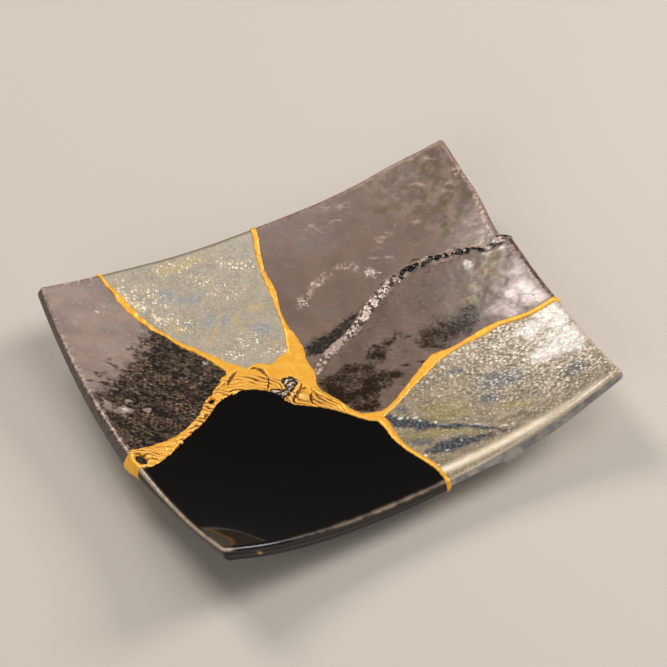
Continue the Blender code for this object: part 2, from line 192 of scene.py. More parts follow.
def smooth_path(points: Points, closed: bool = False, step: float = 3.0) -> Array:
    """Draw a smooth curve through points.

    Args:
        points: The places, each with its x and y first.
        closed: Whether the last point joins the first.
        step: Wanted spacing along the curve.

    Returns:
        One row for each point of the curve.
    """
    given = np.array(points, float)
    count = len(given)
    path = []
    for index in range(count if closed else count - 1):
        near = [index - 1, index, index + 1, index + 2]
        if closed:
            near = [place % count for place in near]
        else:
            near = [min(max(place, 0), count - 1) for place in near]
        a, b, c, d = given[near]
        steps = max(1, round(math.dist(b[:2], c[:2]) / step))
        for share in np.arange(steps) / steps:
            bend = (2.0 * a - 5.0 * b + 4.0 * c - d) * share**2
            turn = (3.0 * b - a - 3.0 * c + d) * share**3
            path.append(0.5 * (2.0 * b + (c - a) * share + bend + turn))
    if not closed:
        path.append(given[-1])
    return np.array(path)


def nearest_on(path: Array, x: Array, y: Array) -> tuple[Array, Array]:
    """Measure places against a drawn line.

    Args:
        path: The line's points, each with x and y first.
        x: Plan places along X.
        y: Plan places along Y.

    Returns:
        The distance to the line, and how far along the line the nearest point lies.
    """
    distance = np.full(x.shape, FAR_AWAY)
    station = np.zeros(x.shape)
    run = 0.0
    for start, end in zip(path[:-1, :2], path[1:, :2]):
        along = end - start
        length = math.hypot(*along)
        share = ((x - start[0]) * along[0] + (y - start[1]) * along[1]) / length**2
        share = np.clip(share, 0.0, 1.0)
        gap = np.hypot(x - start[0] - share * along[0], y - start[1] - share * along[1])
        closer = gap < distance
        distance = np.where(closer, gap, distance)
        station = np.where(closer, run + share * length, station)
        run += length
    return distance, station


@dataclass(frozen=True)
class Ribbon:
    """A band in plan that changes in width along a smooth line."""

    points: Points

    def inside(self, x: Array, y: Array) -> Array:
        """Measure places against the band.

        Args:
            x: Plan places along X.
            y: Plan places along Y.

        Returns:
            How far each place lies inside the band's edge.
        """
        path = smooth_path(self.points)
        best = np.full(x.shape, -FAR_AWAY)
        for start, end in zip(path[:-1], path[1:]):
            along = end[:2] - start[:2]
            share = ((x - start[0]) * along[0] + (y - start[1]) * along[1]) / (along @ along)
            share = np.clip(share, 0.0, 1.0)
            reach = (start[2] + share * (end[2] - start[2])) / 2.0
            gap = np.hypot(x - start[0] - share * along[0], y - start[1] - share * along[1])
            best = np.maximum(best, reach - gap)
        return best

    def cover(self, x: Array, y: Array) -> Array:
        """Return 1 along the middle of the band, falling softly to 0 at its edge."""
        widest = max(point[2] for point in self.points)
        return ease(0.0, widest / 3.0, self.inside(x, y))


@dataclass(frozen=True)
class Patch:
    """An area in plan with one closed smooth outline."""

    points: Points
    soft: float = 2.0

    def inside(self, x: Array, y: Array) -> Array:
        """Measure places against the outline.

        Args:
            x: Plan places along X.
            y: Plan places along Y.

        Returns:
            How far each place lies inside the outline.
        """
        path = smooth_path(self.points, closed=True)
        path = np.vstack((path, path[:1]))
        distance = nearest_on(path, x, y)[0]
        within = np.zeros(x.shape, bool)
        for start, end in zip(path[:-1], path[1:]):
            rises = (start[1] > y) != (end[1] > y)
            lean = (end[0] - start[0]) / (end[1] - start[1] + 1e-12)
            within ^= rises & (x < start[0] + lean * (y - start[1]))
        return np.where(within, distance, -distance)

    def cover(self, x: Array, y: Array) -> Array:
        """Return 1 inside the outline and 0 outside, soft at the edge."""
        return ease(-self.soft, self.soft, self.inside(x, y))


@dataclass(frozen=True)
class Spot:
    """A soft oval mark in plan, its long axis turned by degrees."""

    x: float
    y: float
    length: float
    width: float
    turn: float = GLAZE_TURN

    def cover(self, x: Array, y: Array) -> Array:
        """Return 1 at the middle of the mark, falling to 0 at its edge."""
        along, across = turned(x - self.x, y - self.y, self.turn)
        return 1.0 - ease(0.3, 1.0, np.hypot(along / self.length, across / self.width) * 2.0)


@dataclass(frozen=True)
class Area:
    """The part of a piece that carries one feature of its finish.

    Attributes:
        wander: How far the edge wanders, in millimetres.
        seed: Number that picks the wandering.
        spots: The sizes of its ovals, in the order of the fields of Spot.
        shapes: Its ribbons and patches.
    """

    wander: float
    seed: int
    spots: Points = ()
    shapes: tuple[Ribbon | Patch, ...] = ()

    def cover(self, x: Array, y: Array) -> Array:
        """Cover places with the area's marks.

        Args:
            x: Plan places along X.
            y: Plan places along Y.

        Returns:
            The strongest cover at each place, from 0 to 1.
        """
        best = np.zeros(x.shape)
        for mark in (*self.shapes, *(Spot(*sizes) for sizes in self.spots)):
            best = np.maximum(best, mark.cover(x, y))
        return best

    def straggle(self, x: Array, y: Array) -> Array:
        """Cover places with the area's marks, with their edges wandering.

        Args:
            x: Plan places along X.
            y: Plan places along Y.

        Returns:
            The strongest cover at each place, from 0 to 1.
        """
        if not self.wander:
            return self.cover(x, y)
        coarse, fine = 2.6 * self.wander, 1.1 * self.wander
        shift_x = self.wander * rough(x, y, coarse, fine, 0.5, self.seed)
        shift_y = self.wander * rough(x, y, coarse, fine, 0.5, self.seed + 2)
        return self.cover(x + shift_x, y + shift_y)


GOLD_BANDS = (
    Ribbon(UMBER_CELADON_RIBBON),
    Ribbon(UMBER_BLACK_RIBBON),
    Ribbon(CELADON_MAUVE_RIBBON),
    Ribbon(MAUVE_CELADON_RIBBON),
    Ribbon(BLACK_CELADON_RIBBON),
    Patch(GOLD_POOL),
)
LACQUER_BAND = Ribbon(LACQUER_RIBBON)
GOLD_EDGE_WANDER = 0.15
GOLD_LEFT_WANDER = 0.2
LACQUER_EDGE_WANDER = 0.5
LACQUER_SWELL = 0.75


def gold_inside(x: Array, y: Array) -> Array:
    """Measure places against the gold seam, whose edge is a little uneven.

    Args:
        x: Plan places along X.
        y: Plan places along Y.

    Returns:
        How far each place lies inside the seam.
    """
    best = np.full(x.shape, -FAR_AWAY)
    for band in GOLD_BANDS:
        best = np.maximum(best, band.inside(x, y))
    wander = GOLD_EDGE_WANDER + GOLD_LEFT_WANDER * ease(-5.0, -30.0, x)
    return best + wander * rough(x, y, 1.9, 1.0, 0.6, 11)


def lacquer_band_inside(x: Array, y: Array) -> Array:
    """Return how far each place lies inside the lacquer band, whose edge is uneven."""
    uneven = rough(x, y, 2.3, 1.1, 0.5, 13)
    return LACQUER_BAND.inside(x, y) + LACQUER_SWELL + LACQUER_EDGE_WANDER * uneven


def lacquer_inside(x: Array, y: Array) -> Array:
    """Return how far each place lies inside the lacquer seam and clear of the gold."""
    return np.minimum(lacquer_band_inside(x, y), -gold_inside(x, y))


def seam_inside(x: Array, y: Array) -> Array:
    """Return how far each place lies inside either seam."""
    return np.maximum(gold_inside(x, y), lacquer_band_inside(x, y))


@dataclass(frozen=True)
class Sides:
    """One size for each side of the plate."""

    back: float
    right: float
    front: float
    left: float

    def across(self, u: Array) -> Array:
        """Return the right or the left size by the sign of u."""
        return np.where(u > 0.0, self.right, self.left)

    def along(self, v: Array) -> Array:
        """Return the back or the front size by the sign of v."""
        return np.where(v > 0.0, self.back, self.front)


@dataclass(frozen=True)
class Corners:
    """One size for each corner of the plate."""

    back_left: float
    back_right: float
    front_right: float
    front_left: float

    def at(self, u: Array, v: Array) -> Array:
        """Blend the corner sizes evenly.

        Args:
            u: Parameters along X, from -1 to 1.
            v: Parameters along Y, from -1 to 1.

        Returns:
            The size at each place.
        """
        back = self.back_left * (1.0 - u) + self.back_right * (1.0 + u)
        front = self.front_left * (1.0 - u) + self.front_right * (1.0 + u)
        return (back * (1.0 + v) + front * (1.0 - v)) / 4.0


@dataclass(frozen=True)
class RimShift:
    """A local shift of the rim, fading out at a distance from its place in plan.

    The shift holds on the high side of the ribbon and the low shift on its other side,
    where high means the larger Y, or the larger X for a ribbon that runs along Y. A
    shift of the lower edge grows from nothing at the top of the wall.
    """

    place: tuple[float, float]
    reach: float
    shift: tuple[float, float, float]
    low_shift: tuple[float, float, float]
    ribbon: Points = ()
    along_y: bool = False
    lower_edge: bool = False

    def high_share(self, x: Array, y: Array) -> Array:
        """Tell the sides of the ribbon apart.

        Args:
            x: Plan places along X.
            y: Plan places along Y.

        Returns:
            1 on the high side, 0 on the low side, and between them across the ribbon.
        """
        if not self.ribbon:
            return np.ones(x.shape)
        along, across = (y, x) if self.along_y else (x, y)
        order = 1 if self.along_y else 0
        points = sorted(self.ribbon, key=lambda point: point[order])
        stations = [point[order] for point in points]
        middle = np.interp(along, stations, [point[1 - order] for point in points])
        width = np.interp(along, stations, [point[2] for point in points])
        return np.clip((across - middle) / width + 0.5, 0.0, 1.0)

    def move(self, x: Array, y: Array, depth: Array) -> Array:
        """Work out the shift.

        Args:
            x: Plan places along X.
            y: Plan places along Y.
            depth: Share of the wall's depth at each place.

        Returns:
            The shift of each place, one row each, in millimetres.
        """
        gap = np.hypot(x - self.place[0], y - self.place[1])
        share = ease(0.0, 1.0, 1.0 - gap / self.reach)
        if self.lower_edge:
            share = share * depth
        high = self.high_share(x, y)[:, None]
        shift = np.array(self.low_shift) * (1.0 - high) + np.array(self.shift) * high
        return shift * share[:, None]


RIM_SHIFTS = (
    RimShift((92.0, 22.0), 27.0, (-3.0, 0.0, 0.0), (0.5, 0.0, 0.0), LACQUER_RIBBON),
    RimShift(
        (-96.0, -2.0), 46.0, (-0.8, 0.0, 0.0), (0.0, 0.0, 0.0), UMBER_BLACK_RIBBON, lower_edge=True
    ),
    RimShift(
        (-91.0, -62.0), 72.0, (0.0, 0.0, 0.0), (3.3, 0.0, 0.0), UMBER_BLACK_RIBBON, lower_edge=True
    ),
    RimShift(
        (14.0, -78.0), 27.0, (0.0, 0.0, 1.5), (0.0, 0.0, 0.0), BLACK_CELADON_RIBBON, True, True
    ),
    RimShift((54.0, -76.0), 26.0, (0.0, 0.0, -1.2), (0.0, 0.0, -1.2), lower_edge=True),
    RimShift((-62.0, 80.0), 48.0, (0.0, 0.4, 0.8), (0.0, 0.4, 0.8)),
    RimShift((70.0, 78.0), 26.0, (0.0, 0.4, 0.8), (0.0, 0.4, 0.8)),
    RimShift((-90.0, -77.0), 24.0, (0.0, 0.0, 1.2), (0.0, 0.0, 1.2)),
)


@dataclass(frozen=True)
class Places:
    """Where every vertex of a piece lies on the plate.

    Attributes:
        x: Plan place along X.
        y: Plan place along Y.
        rim: Distance from the rim.
        depth: Share of the wall's depth.
        up: How far the vertex faces up, from -1 to 1.
        out: How far it faces outwards at the rim, from 0 to 1.
        crown: How far it stands out of the slab.
    """

    x: Array
    y: Array
    rim: Array
    depth: Array
    up: Array
    out: Array
    crown: Array

    def grain(self, size: float, seed: int) -> Array:
        """Return a random field at the places."""
        return grain(self.x, self.y, size, seed)

    def rough(self, size: float, fine: float, share: float, seed: int) -> Array:
        """Return the sum of two random fields at the places."""
        return rough(self.x, self.y, size, fine, share, seed)


@dataclass(frozen=True)
class PlateForm:
    """The curved slab that all pieces are parts of, and its foot ring."""

    corner_x: Corners = Corners(-91.5, 92.0, 87.5, -89.7)
    corner_y: Corners = Corners(77.0, 73.0, -72.5, -77.0)
    bow: Sides = Sides(2.0, 3.5, 2.0, 5.2)
    rise: Sides = Sides(13.2, 14.0, 10.5, 15.5)
    thickness: Corners = Corners(5.6, 5.4, 4.8, 6.9)
    bow_power: float = 2.0
    centre_height: float = 8.0
    corner_rise: float = 27.0
    rise_power: float = 2.3
    rim_rounding: float = 1.7
    half_length: float = 91.0
    half_width: float = 76.0
    foot_half_length: float = 43.0
    foot_half_width: float = 35.0
    foot_corner_radius: float = 13.0
    foot_wall: float = 5.0
    foot_slope: float = 1.1
    normal_step: float = 0.001
    skin: tuple[float, float] = (0.97, 0.999)

    def plan(self, u: Array, v: Array) -> tuple[Array, Array]:
        """Find plan places.

        Args:
            u: Parameters along X, from -1 to 1.
            v: Parameters along Y, from -1 to 1.

        Returns:
            The plan places along X, and along Y.
        """
        x = self.corner_x.at(u, v)
        y = self.corner_y.at(u, v)
        x = x + self.bow.across(u) * u * (1.0 - np.abs(v) ** self.bow_power)
        y = y + self.bow.along(v) * v * (1.0 - np.abs(u) ** self.bow_power)
        return x, y

    def height(self, u: Array, v: Array) -> Array:
        """Find the height of the dish.

        Args:
            u: Parameters along X.
            v: Parameters along Y.

        Returns:
            The height of its top over the table.
        """
        rise_u = self.rise.across(u)
        rise_v = self.rise.along(v)
        share_u = np.abs(u) ** self.rise_power
        share_v = np.abs(v) ** self.rise_power
        corner = (self.corner_rise - rise_u - rise_v) * share_u * share_v
        return self.centre_height + rise_u * share_u + rise_v * share_v + corner

    def point(self, u: Array, v: Array) -> Array:
        """Return the point of the dish at the parameters."""
        x, y = self.plan(u, v)
        return np.stack((x, y, self.height(u, v)), axis=-1)

    def normal(self, u: Array, v: Array) -> Array:
        """Find the upward normals of the dish.

        Args:
            u: Parameters along X.
            v: Parameters along Y.

        Returns:
            One normal in each row.
        """
        step = self.normal_step
        along_u = self.point(u + step, v) - self.point(u - step, v)
        along_v = self.point(u, v + step) - self.point(u, v - step)
        normal = np.cross(along_u, along_v)
        return normal / np.linalg.norm(normal, axis=1, keepdims=True)

    def foot_cover(self, x: Array, y: Array) -> Array:
        """Find the foot ring.

        Args:
            x: Places along X from the middle of the footprint.
            y: Places along Y from there.

        Returns:
            1 on the foot ring and 0 away from it, with a slope between.
        """
        inner_x = self.foot_half_length - self.foot_corner_radius
        inner_y = self.foot_half_width - self.foot_corner_radius
        out_x = np.maximum(np.abs(x) - inner_x, 0.0)
        out_y = np.maximum(np.abs(y) - inner_y, 0.0)
        outside = np.hypot(out_x, out_y) - self.foot_corner_radius
        outer = ease(0.0, self.foot_slope, -outside)
        inner = ease(0.0, self.foot_slope, outside + self.foot_wall)
        return outer * inner

    def bent(
        self, flat: Array, crown: Array, relief: Callable, sag: Callable, foot_height: float
    ) -> tuple[Array, Places]:
        """Bend a flat piece to the form of the plate.

        Args:
            flat: The flat vertices: u, v, and minus the share of the wall's depth.
            crown: How far each vertex stands out of the slab, in millimetres.
            relief: Function of the places that gives more height along the surface normal.
            sag: Function of the places that gives how far a vertex hangs down.
            foot_height: Height of the underside of the foot ring over the table.

        Returns:
            The bent vertices in metres, and where they lie on the plate.
        """
        u, v, share = flat[:, 0], flat[:, 1], -flat[:, 2]
        wall = self.thickness.at(u, v)
        from_side = (1.0 - np.abs(u)) * self.half_length
        from_end = (1.0 - np.abs(v)) * self.half_width
        box = np.stack((from_side, from_end, share * wall), axis=1)
        rim = np.minimum(from_side, from_end)
        core = np.maximum(box, self.rim_rounding)
        core[:, 2] = np.minimum(core[:, 2], wall - self.rim_rounding)
        reach = box - core
        length = np.linalg.norm(reach, axis=1)
        shell = np.abs(reach).max(axis=1) / self.rim_rounding
        away = reach / np.maximum(length, 1e-9)[:, None]
        skin = ease(*self.skin, shell)
        box = core + away * (self.rim_rounding * shell + crown * skin)[:, None]
        near_u = np.sign(u) * (1.0 - box[:, 0] / self.half_length)
        near_v = np.sign(v) * (1.0 - box[:, 1] / self.half_width)
        normal = self.normal(near_u, near_v)
        x, y = self.plan(near_u, near_v)
        out = np.hypot(away[:, 0], away[:, 1]) * skin
        places = Places(x, y, rim, share, -away[:, 2] * skin, out, crown)
        lift = relief(places)
        points = self.point(near_u, near_v) - normal * box[:, 2:3]
        outward = np.stack((-away[:, 0] * np.sign(u), -away[:, 1] * np.sign(v), 0.0 * u), axis=1)
        points += normal * (lift * np.maximum(places.up, 0.0))[:, None]
        points += outward * (lift * skin)[:, None]
        points[:, 2] -= sag(places)
        facing_down = np.clip(-places.up, 0.0, 1.0) ** 2
        foot = self.foot_cover(x - PLAN_CENTRE[0], y - PLAN_CENTRE[1]) * facing_down
        points[:, 2] += (foot_height - points[:, 2]) * foot
        for rim_shift in RIM_SHIFTS:
            points += rim_shift.move(x, y, share)
        points[:, 0] -= PLAN_CENTRE[0]
        points[:, 1] -= PLAN_CENTRE[1]
        return points * MM, places


FORM = PlateForm()


class Element(Enum):
    """A kind of mesh element that can be selected."""

    VERTEX = "VERT"
    EDGE = "EDGE"
    FACE = "FACE"


def deselect() -> None:
    """Leave nothing selected in object mode."""
    bpy.ops.object.select_all(action="DESELECT")


def only(piece: bpy.types.Object) -> None:
    """Make one piece the only selected and active one.

    Args:
        piece: The piece.
    """
    deselect()
    piece.select_set(True)
    bpy.context.view_layer.objects.active = piece


def vertices_of(piece: bpy.types.Object) -> Array:
    """Read a piece's vertices.

    Args:
        piece: The piece.

    Returns:
        One vertex in each row.
    """
    count = len(piece.data.vertices)
    places = np.empty(count * 3, np.float32)
    piece.data.vertices.foreach_get("co", places)
    return places.reshape(count, 3).astype(float)


def plan_of(flat: Array) -> tuple[Array, Array]:
    """Return the plan places of flat vertices."""
    return FORM.plan(flat[:, 0], flat[:, 1])


def put_vertices(piece: bpy.types.Object, places: Array) -> None:
    """Move a piece's vertices to the places given."""
    piece.data.vertices.foreach_set("co", places.astype(np.float32).ravel())
    piece.data.update()


def corners_of(piece: bpy.types.Object, sides: int) -> Array:
    """Read the vertex numbers of a mesh whose faces all have as many sides.

    Args:
        piece: The piece.
        sides: Number of sides of a face.

    Returns:
        The vertex numbers of one face in each row.
    """
    corners = np.empty(len(piece.data.loops), np.int32)
    piece.data.loops.foreach_get("vertex_index", corners)
    return corners.reshape(-1, sides)


def edit_all(piece: bpy.types.Object, kind: Element) -> None:
    """Open a piece in edit mode with all its elements of one kind selected.

    Args:
        piece: The piece.
        kind: Kind of element.
    """
    only(piece)
    bpy.ops.object.mode_set(mode="EDIT")
    bpy.ops.mesh.select_mode(type=kind.value)
    bpy.ops.mesh.select_all(action="SELECT")


def edit_chosen(piece: bpy.types.Object, kind: Element, chosen: Array) -> None:
    """Open a piece in edit mode with some of its elements selected.

    Args:
        piece: The piece.
        kind: Kind of element, an edge or a face.
        chosen: Whether each of them is selected.
    """
    mesh = piece.data
    edges, faces = kind is Element.EDGE, kind is Element.FACE
    bpy.context.scene.tool_settings.mesh_select_mode = (False, edges, faces)
    for elements in (mesh.vertices, mesh.edges, mesh.polygons):
        elements.foreach_set("select", np.zeros(len(elements), bool))
    (mesh.edges if edges else mesh.polygons).foreach_set("select", chosen)
    only(piece)
    bpy.ops.object.mode_set(mode="EDIT")


def close_edit() -> None:
    """Go back to object mode."""
    bpy.ops.object.mode_set(mode="OBJECT")


def drop_faces(piece: bpy.types.Object, gone: Array) -> None:
    """Delete faces, and what they leave loose.

    Args:
        piece: The piece.
        gone: Whether each face goes.
    """
    edit_chosen(piece, Element.FACE, gone)
    bpy.ops.mesh.delete(type="FACE")
    bpy.ops.mesh.select_all(action="SELECT")
    bpy.ops.mesh.delete_loose()
    close_edit()


def add_grid(name: str) -> bpy.types.Object:
    """Add the flat grid of the whole plate, from -1 to 1 both ways.

    Args:
        name: Name of the new object.

    Returns:
        The new object.
    """
    deselect()
    bpy.ops.mesh.primitive_grid_add(
        x_subdivisions=GRID_COLUMNS, y_subdivisions=GRID_ROWS, size=2.0
    )
    piece = bpy.context.object
    piece.name = name
    return piece


@dataclass(frozen=True)
class Cutter:
    """A tool that keeps what lies inside a zone of a flat grid.

    Attributes:
        inside: Function of plan x and y that is positive inside the zone.
        cell: Size of one cell of the grid, in millimetres.
        near: Distance from the zone's edge up to which vertices move to it, in cells.
        longest_move: The longest of those moves, in cells.
        slack: Distance from the edge that still counts as on it, in cells.
        rounds: Number of moves of each vertex.
        slope_step: Step for the slope of the function, in millimetres.
        least_slope: The least square of that slope.
        edge: Parameter at and beyond which a vertex lies on the rim.
    """

    inside: Callable
    cell: float
    near: float = 0.75
    longest_move: float = 0.5
    slack: float = 0.1
    rounds: int = 3
    slope_step: float = 0.05
    least_slope: float = 0.25
    edge: float = 0.99999

    def moved(self, flat: Array) -> Array:
        """Move the vertices near the zone's edge to it, and those on the rim along it.

        Args:
            flat: The vertices of the flat grid.

        Returns:
            The moved vertices.
        """
        kept = flat.copy()
        near = np.abs(self.inside(*plan_of(flat))) < self.near * self.cell
        free = np.abs(flat[near, :2]) <= self.edge
        step = self.slope_step
        for _ in range(self.rounds):
            x, y = plan_of(kept[near])
            slope_x = (self.inside(x + step, y) - self.inside(x - step, y)) / (2.0 * step)
            slope_y = (self.inside(x, y + step) - self.inside(x, y - step)) / (2.0 * step)
            slope_x = np.where(free[:, 0], slope_x, 0.0)
            slope_y = np.where(free[:, 1], slope_y, 0.0)
            square = np.maximum(slope_x**2 + slope_y**2, self.least_slope)
            longest = self.longest_move * self.cell
            reach = np.clip(self.inside(x, y) / square, -longest, longest)
            kept[near, 0] -= reach * slope_x / FORM.half_length
            kept[near, 1] -= reach * slope_y / FORM.half_width
        return kept

    def cut(self, piece: bpy.types.Object) -> None:
        """Cut the zone out of a flat grid, with its outline on the zone's edge.

        Args:
            piece: The flat grid.
        """
        edit_all(piece, Element.FACE)
        bpy.ops.mesh.quads_convert_to_tris(quad_method="FIXED")
        close_edit()
        flat = vertices_of(piece)
        faces = corners_of(piece, 3)
        gone = self.inside(*plan_of(flat[faces].mean(axis=1))) < 0.0
        kept = self.moved(flat)
        far = self.inside(*plan_of(kept))
        outside = (far < -self.slack * self.cell)[faces].any(axis=1)
        within = (far > self.slack * self.cell)[faces].any(axis=1)
        gone = np.where(outside & ~within, True, np.where(within & ~outside, False, gone))
        put_vertices(piece, kept)
        drop_faces(piece, gone)


def thicken(piece: bpy.types.Object, rows: int) -> None:
    """Extrude a flat piece down by one, and cut its sides into rows.

    Args:
        piece: The flat piece.
        rows: Number of cuts of the sides.
    """
    edit_all(piece, Element.FACE)
    bpy.ops.mesh.extrude_region_move(TRANSFORM_OT_translate={"value": (0.0, 0.0, -1.0)})
    bpy.ops.mesh.select_all(action="SELECT")
    bpy.ops.mesh.normals_make_consistent(inside=False)
    close_edit()
    ends = np.empty(len(piece.data.edges) * 2, np.int32)
    piece.data.edges.foreach_get("vertices", ends)
    heights = vertices_of(piece)[ends.reshape(-1, 2), 2]
    upright = np.abs(heights[:, 0] - heights[:, 1]) > 0.5
    edit_chosen(piece, Element.EDGE, upright)
    bpy.ops.mesh.subdivide(number_cuts=rows)
    close_edit()


def add_attribute(piece: bpy.types.Object, name: str, values: Array) -> None:
    """Store one number for each vertex under a name that the piece's material reads."""
    attribute = piece.data.attributes.new(name, "FLOAT", "POINT")
    attribute.data.foreach_set("value", values.astype(np.float32))


class Wire:
    """A socket of a material, with arithmetic on values."""

    def __init__(self, finish: "Finish", socket: bpy.types.NodeSocket) -> None:
        """Keep the socket and the finish that it belongs to."""
        self.finish = finish
        self.socket = socket

    def _math(self, operation: str, *others: "Wire | float", clamp: bool = False) -> "Wire":
        """Add a Math node of this wire and the others, and return its result."""
        settings = {"operation": operation, "use_clamp": clamp}
        return self.finish.node("ShaderNodeMath", settings, dict(enumerate((self, *others))))

    def __add__(self, other: "Wire | float") -> "Wire":
        """Add."""
        return self._math("ADD", other)

    __radd__ = __add__

    def __mul__(self, other: "Wire | float") -> "Wire":
        """Multiply."""
        return self._math("MULTIPLY", other)

    def __sub__(self, other: "Wire | float") -> "Wire":
        """Subtract."""
        return self._math("SUBTRACT", other)

    def __rsub__(self, other: float) -> "Wire":
        """Subtract this wire from a number."""
        settings = {"operation": "SUBTRACT"}
        return self.finish.node("ShaderNodeMath", settings, {0: other, 1: self})

    def most(self, other: "Wire | float") -> "Wire":
        """Return the larger of two values."""
        return self._math("MAXIMUM", other)

    def below(self, limit: float) -> "Wire":
        """Return 1 where the value is below the limit and 0 elsewhere."""
        return self._math("LESS_THAN", limit)

    def clamped(self) -> "Wire":
        """Return the value held between 0 and 1."""
        return self._math("ADD", 0.0, clamp=True)

    def ease(self, low: float, high: float) -> "Wire":
        """Make a smooth step.

        Args:
            low: Value at and below which the step is 0.
            high: Value at and above which it is 1.

        Returns:
            The wire of the step.
        """
        settings = {"interpolation_type": "SMOOTHSTEP"}
        inputs = {"Value": self, "From Min": low, "From Max": high}
        return self.finish.node("ShaderNodeMapRange", settings, inputs)


class Finish:
    """A material. Each kind of glaze, gold, lacquer or paint is a class that paints it.

    Attributes:
        name: The material's name.
    """

    name: str

    def __init__(self) -> None:
        """Start the material with its Principled BSDF, and paint it."""
        self.material = bpy.data.materials.new(self.name)
        self.material.use_nodes = True
        self.tree = self.material.node_tree
        self.shader = self.tree.nodes["Principled BSDF"]
        self.place = self.node("ShaderNodeTexCoord", {}, {}, "Object")
        self.paint()

    def paint(self) -> None:
        """Add the nodes of this finish."""
        raise NotImplementedError

    def node(self, kind: str, settings: dict, inputs: dict, output: str | int = 0) -> Wire:
        """Add a node.

        Args:
            kind: The node's type.
            settings: Its properties, set first.
            inputs: Values or wires by socket name or number.
            output: The socket that is returned.

        Returns:
            The wire of that output.
        """
        node = self.tree.nodes.new(kind)
        for name, value in settings.items():
            setattr(node, name, value)
        for name, value in inputs.items():
            self.feed(node.inputs[name], value)
        return Wire(self, node.outputs[output])

    def feed(self, socket: bpy.types.NodeSocket, value: object) -> None:
        """Link a wire to a socket, or set the socket's own value.

        Args:
            socket: The socket.
            value: A wire, a number, a vector or a colour.
        """
        if isinstance(value, Wire):
            self.tree.links.new(value.socket, socket)
        elif socket.type == "RGBA":
            socket.default_value = (*value, 1.0)
        else:
            socket.default_value = value

    def set(self, **sockets: object) -> None:
        """Feed the shader's sockets, named with _ for each space."""
        for name, value in sockets.items():
            self.feed(self.shader.inputs[name.replace("_", " ")], value)

    def mark(self, name: str) -> Wire:
        """Read a number that the piece holds for each vertex."""
        return self.node("ShaderNodeAttribute", {"attribute_name": name}, {}, "Fac")

    def rim(self, near: float, far: float) -> Wire:
        """Return 1 up to a distance from the rim, falling to 0 at a farther one."""
        return 1.0 - self.mark("rim").ease(near, far)

    def drawn_out(self, stretch: float) -> Wire:
        """Stretch the places that a pattern is read at along the glaze's marks.

        Args:
            stretch: How many times as long as wide the marks come out.

        Returns:
            The wire of the places.
        """
        turn = (0.0, 0.0, math.radians(GLAZE_TURN))
        inputs = {"Vector": self.place, "Rotation": turn, "Scale": (stretch, 1.0, 1.0)}
        return self.node("ShaderNodeMapping", {"vector_type": "TEXTURE"}, inputs)

    def noise(self, size: float, detail: float = 3.0, place: Wire | None = None) -> Wire:
        """Return noise from 0 to 1, in clouds as wide as size in millimetres."""
        inputs = {"Vector": place or self.place, "Scale": 1.0 / (size * MM), "Detail": detail}
        return self.node("ShaderNodeTexNoise", {}, inputs, "Fac")

    def flecks(self, size: float, share: float, radius: float, place: Wire | None = None) -> Wire:
        """Scatter round flecks.

        Args:
            size: Width of the cells that hold one fleck at most, in millimetres.
            share: Share of the cells that hold one.
            radius: Radius of the largest fleck, as a share of a cell.
            place: Places that the pattern is read at.

        Returns:
            The wire, 1 in a fleck and 0 outside.
        """
        settings = {"feature": "F1", "voronoi_dimensions": "2D"}
        inputs = {"Vector": place or self.place, "Scale": 1.0 / (size * MM)}
        gap = self.node("ShaderNodeTexVoronoi", settings, inputs, "Distance")
        colour = Wire(self, gap.socket.node.outputs["Color"])
        draw = self.node("ShaderNodeSeparateColor", {}, {"Color": colour}, "Red")
        width = Wire(self, draw.socket.node.outputs["Green"]) * (0.6 * radius) + 0.4 * radius
        return ((width - gap) * (4.0 / radius)).clamped() * draw.below(share)

    def mix(self, share: Wire | float, first: object, second: object) -> Wire:
        """Return a mix of two wires or plain colours, with a share of the second."""
        inputs = {0: share, 6: first, 7: second}
        return self.node("ShaderNodeMix", {"data_type": "RGBA"}, inputs, 2)

    def layers(self, colour: object, *coats: tuple[Wire, object]) -> Wire:
        """Lay coats of colour over a colour.

        Args:
            colour: The lowest colour, a wire or a plain one.
            coats: The cover and the colour of each coat, the lowest first.

        Returns:
            The wire of the colour that shows.
        """
        for share, coat in coats:
            colour = self.mix(share, colour, coat)
        return colour

    def bump(self, height: Wire, depth: float) -> Wire:
        """Return a normal for a relief that is depth millimetres deep."""
        inputs = {"Height": height, "Distance": depth * MM, "Strength": 1.0}
        return self.node("ShaderNodeBump", {}, inputs)


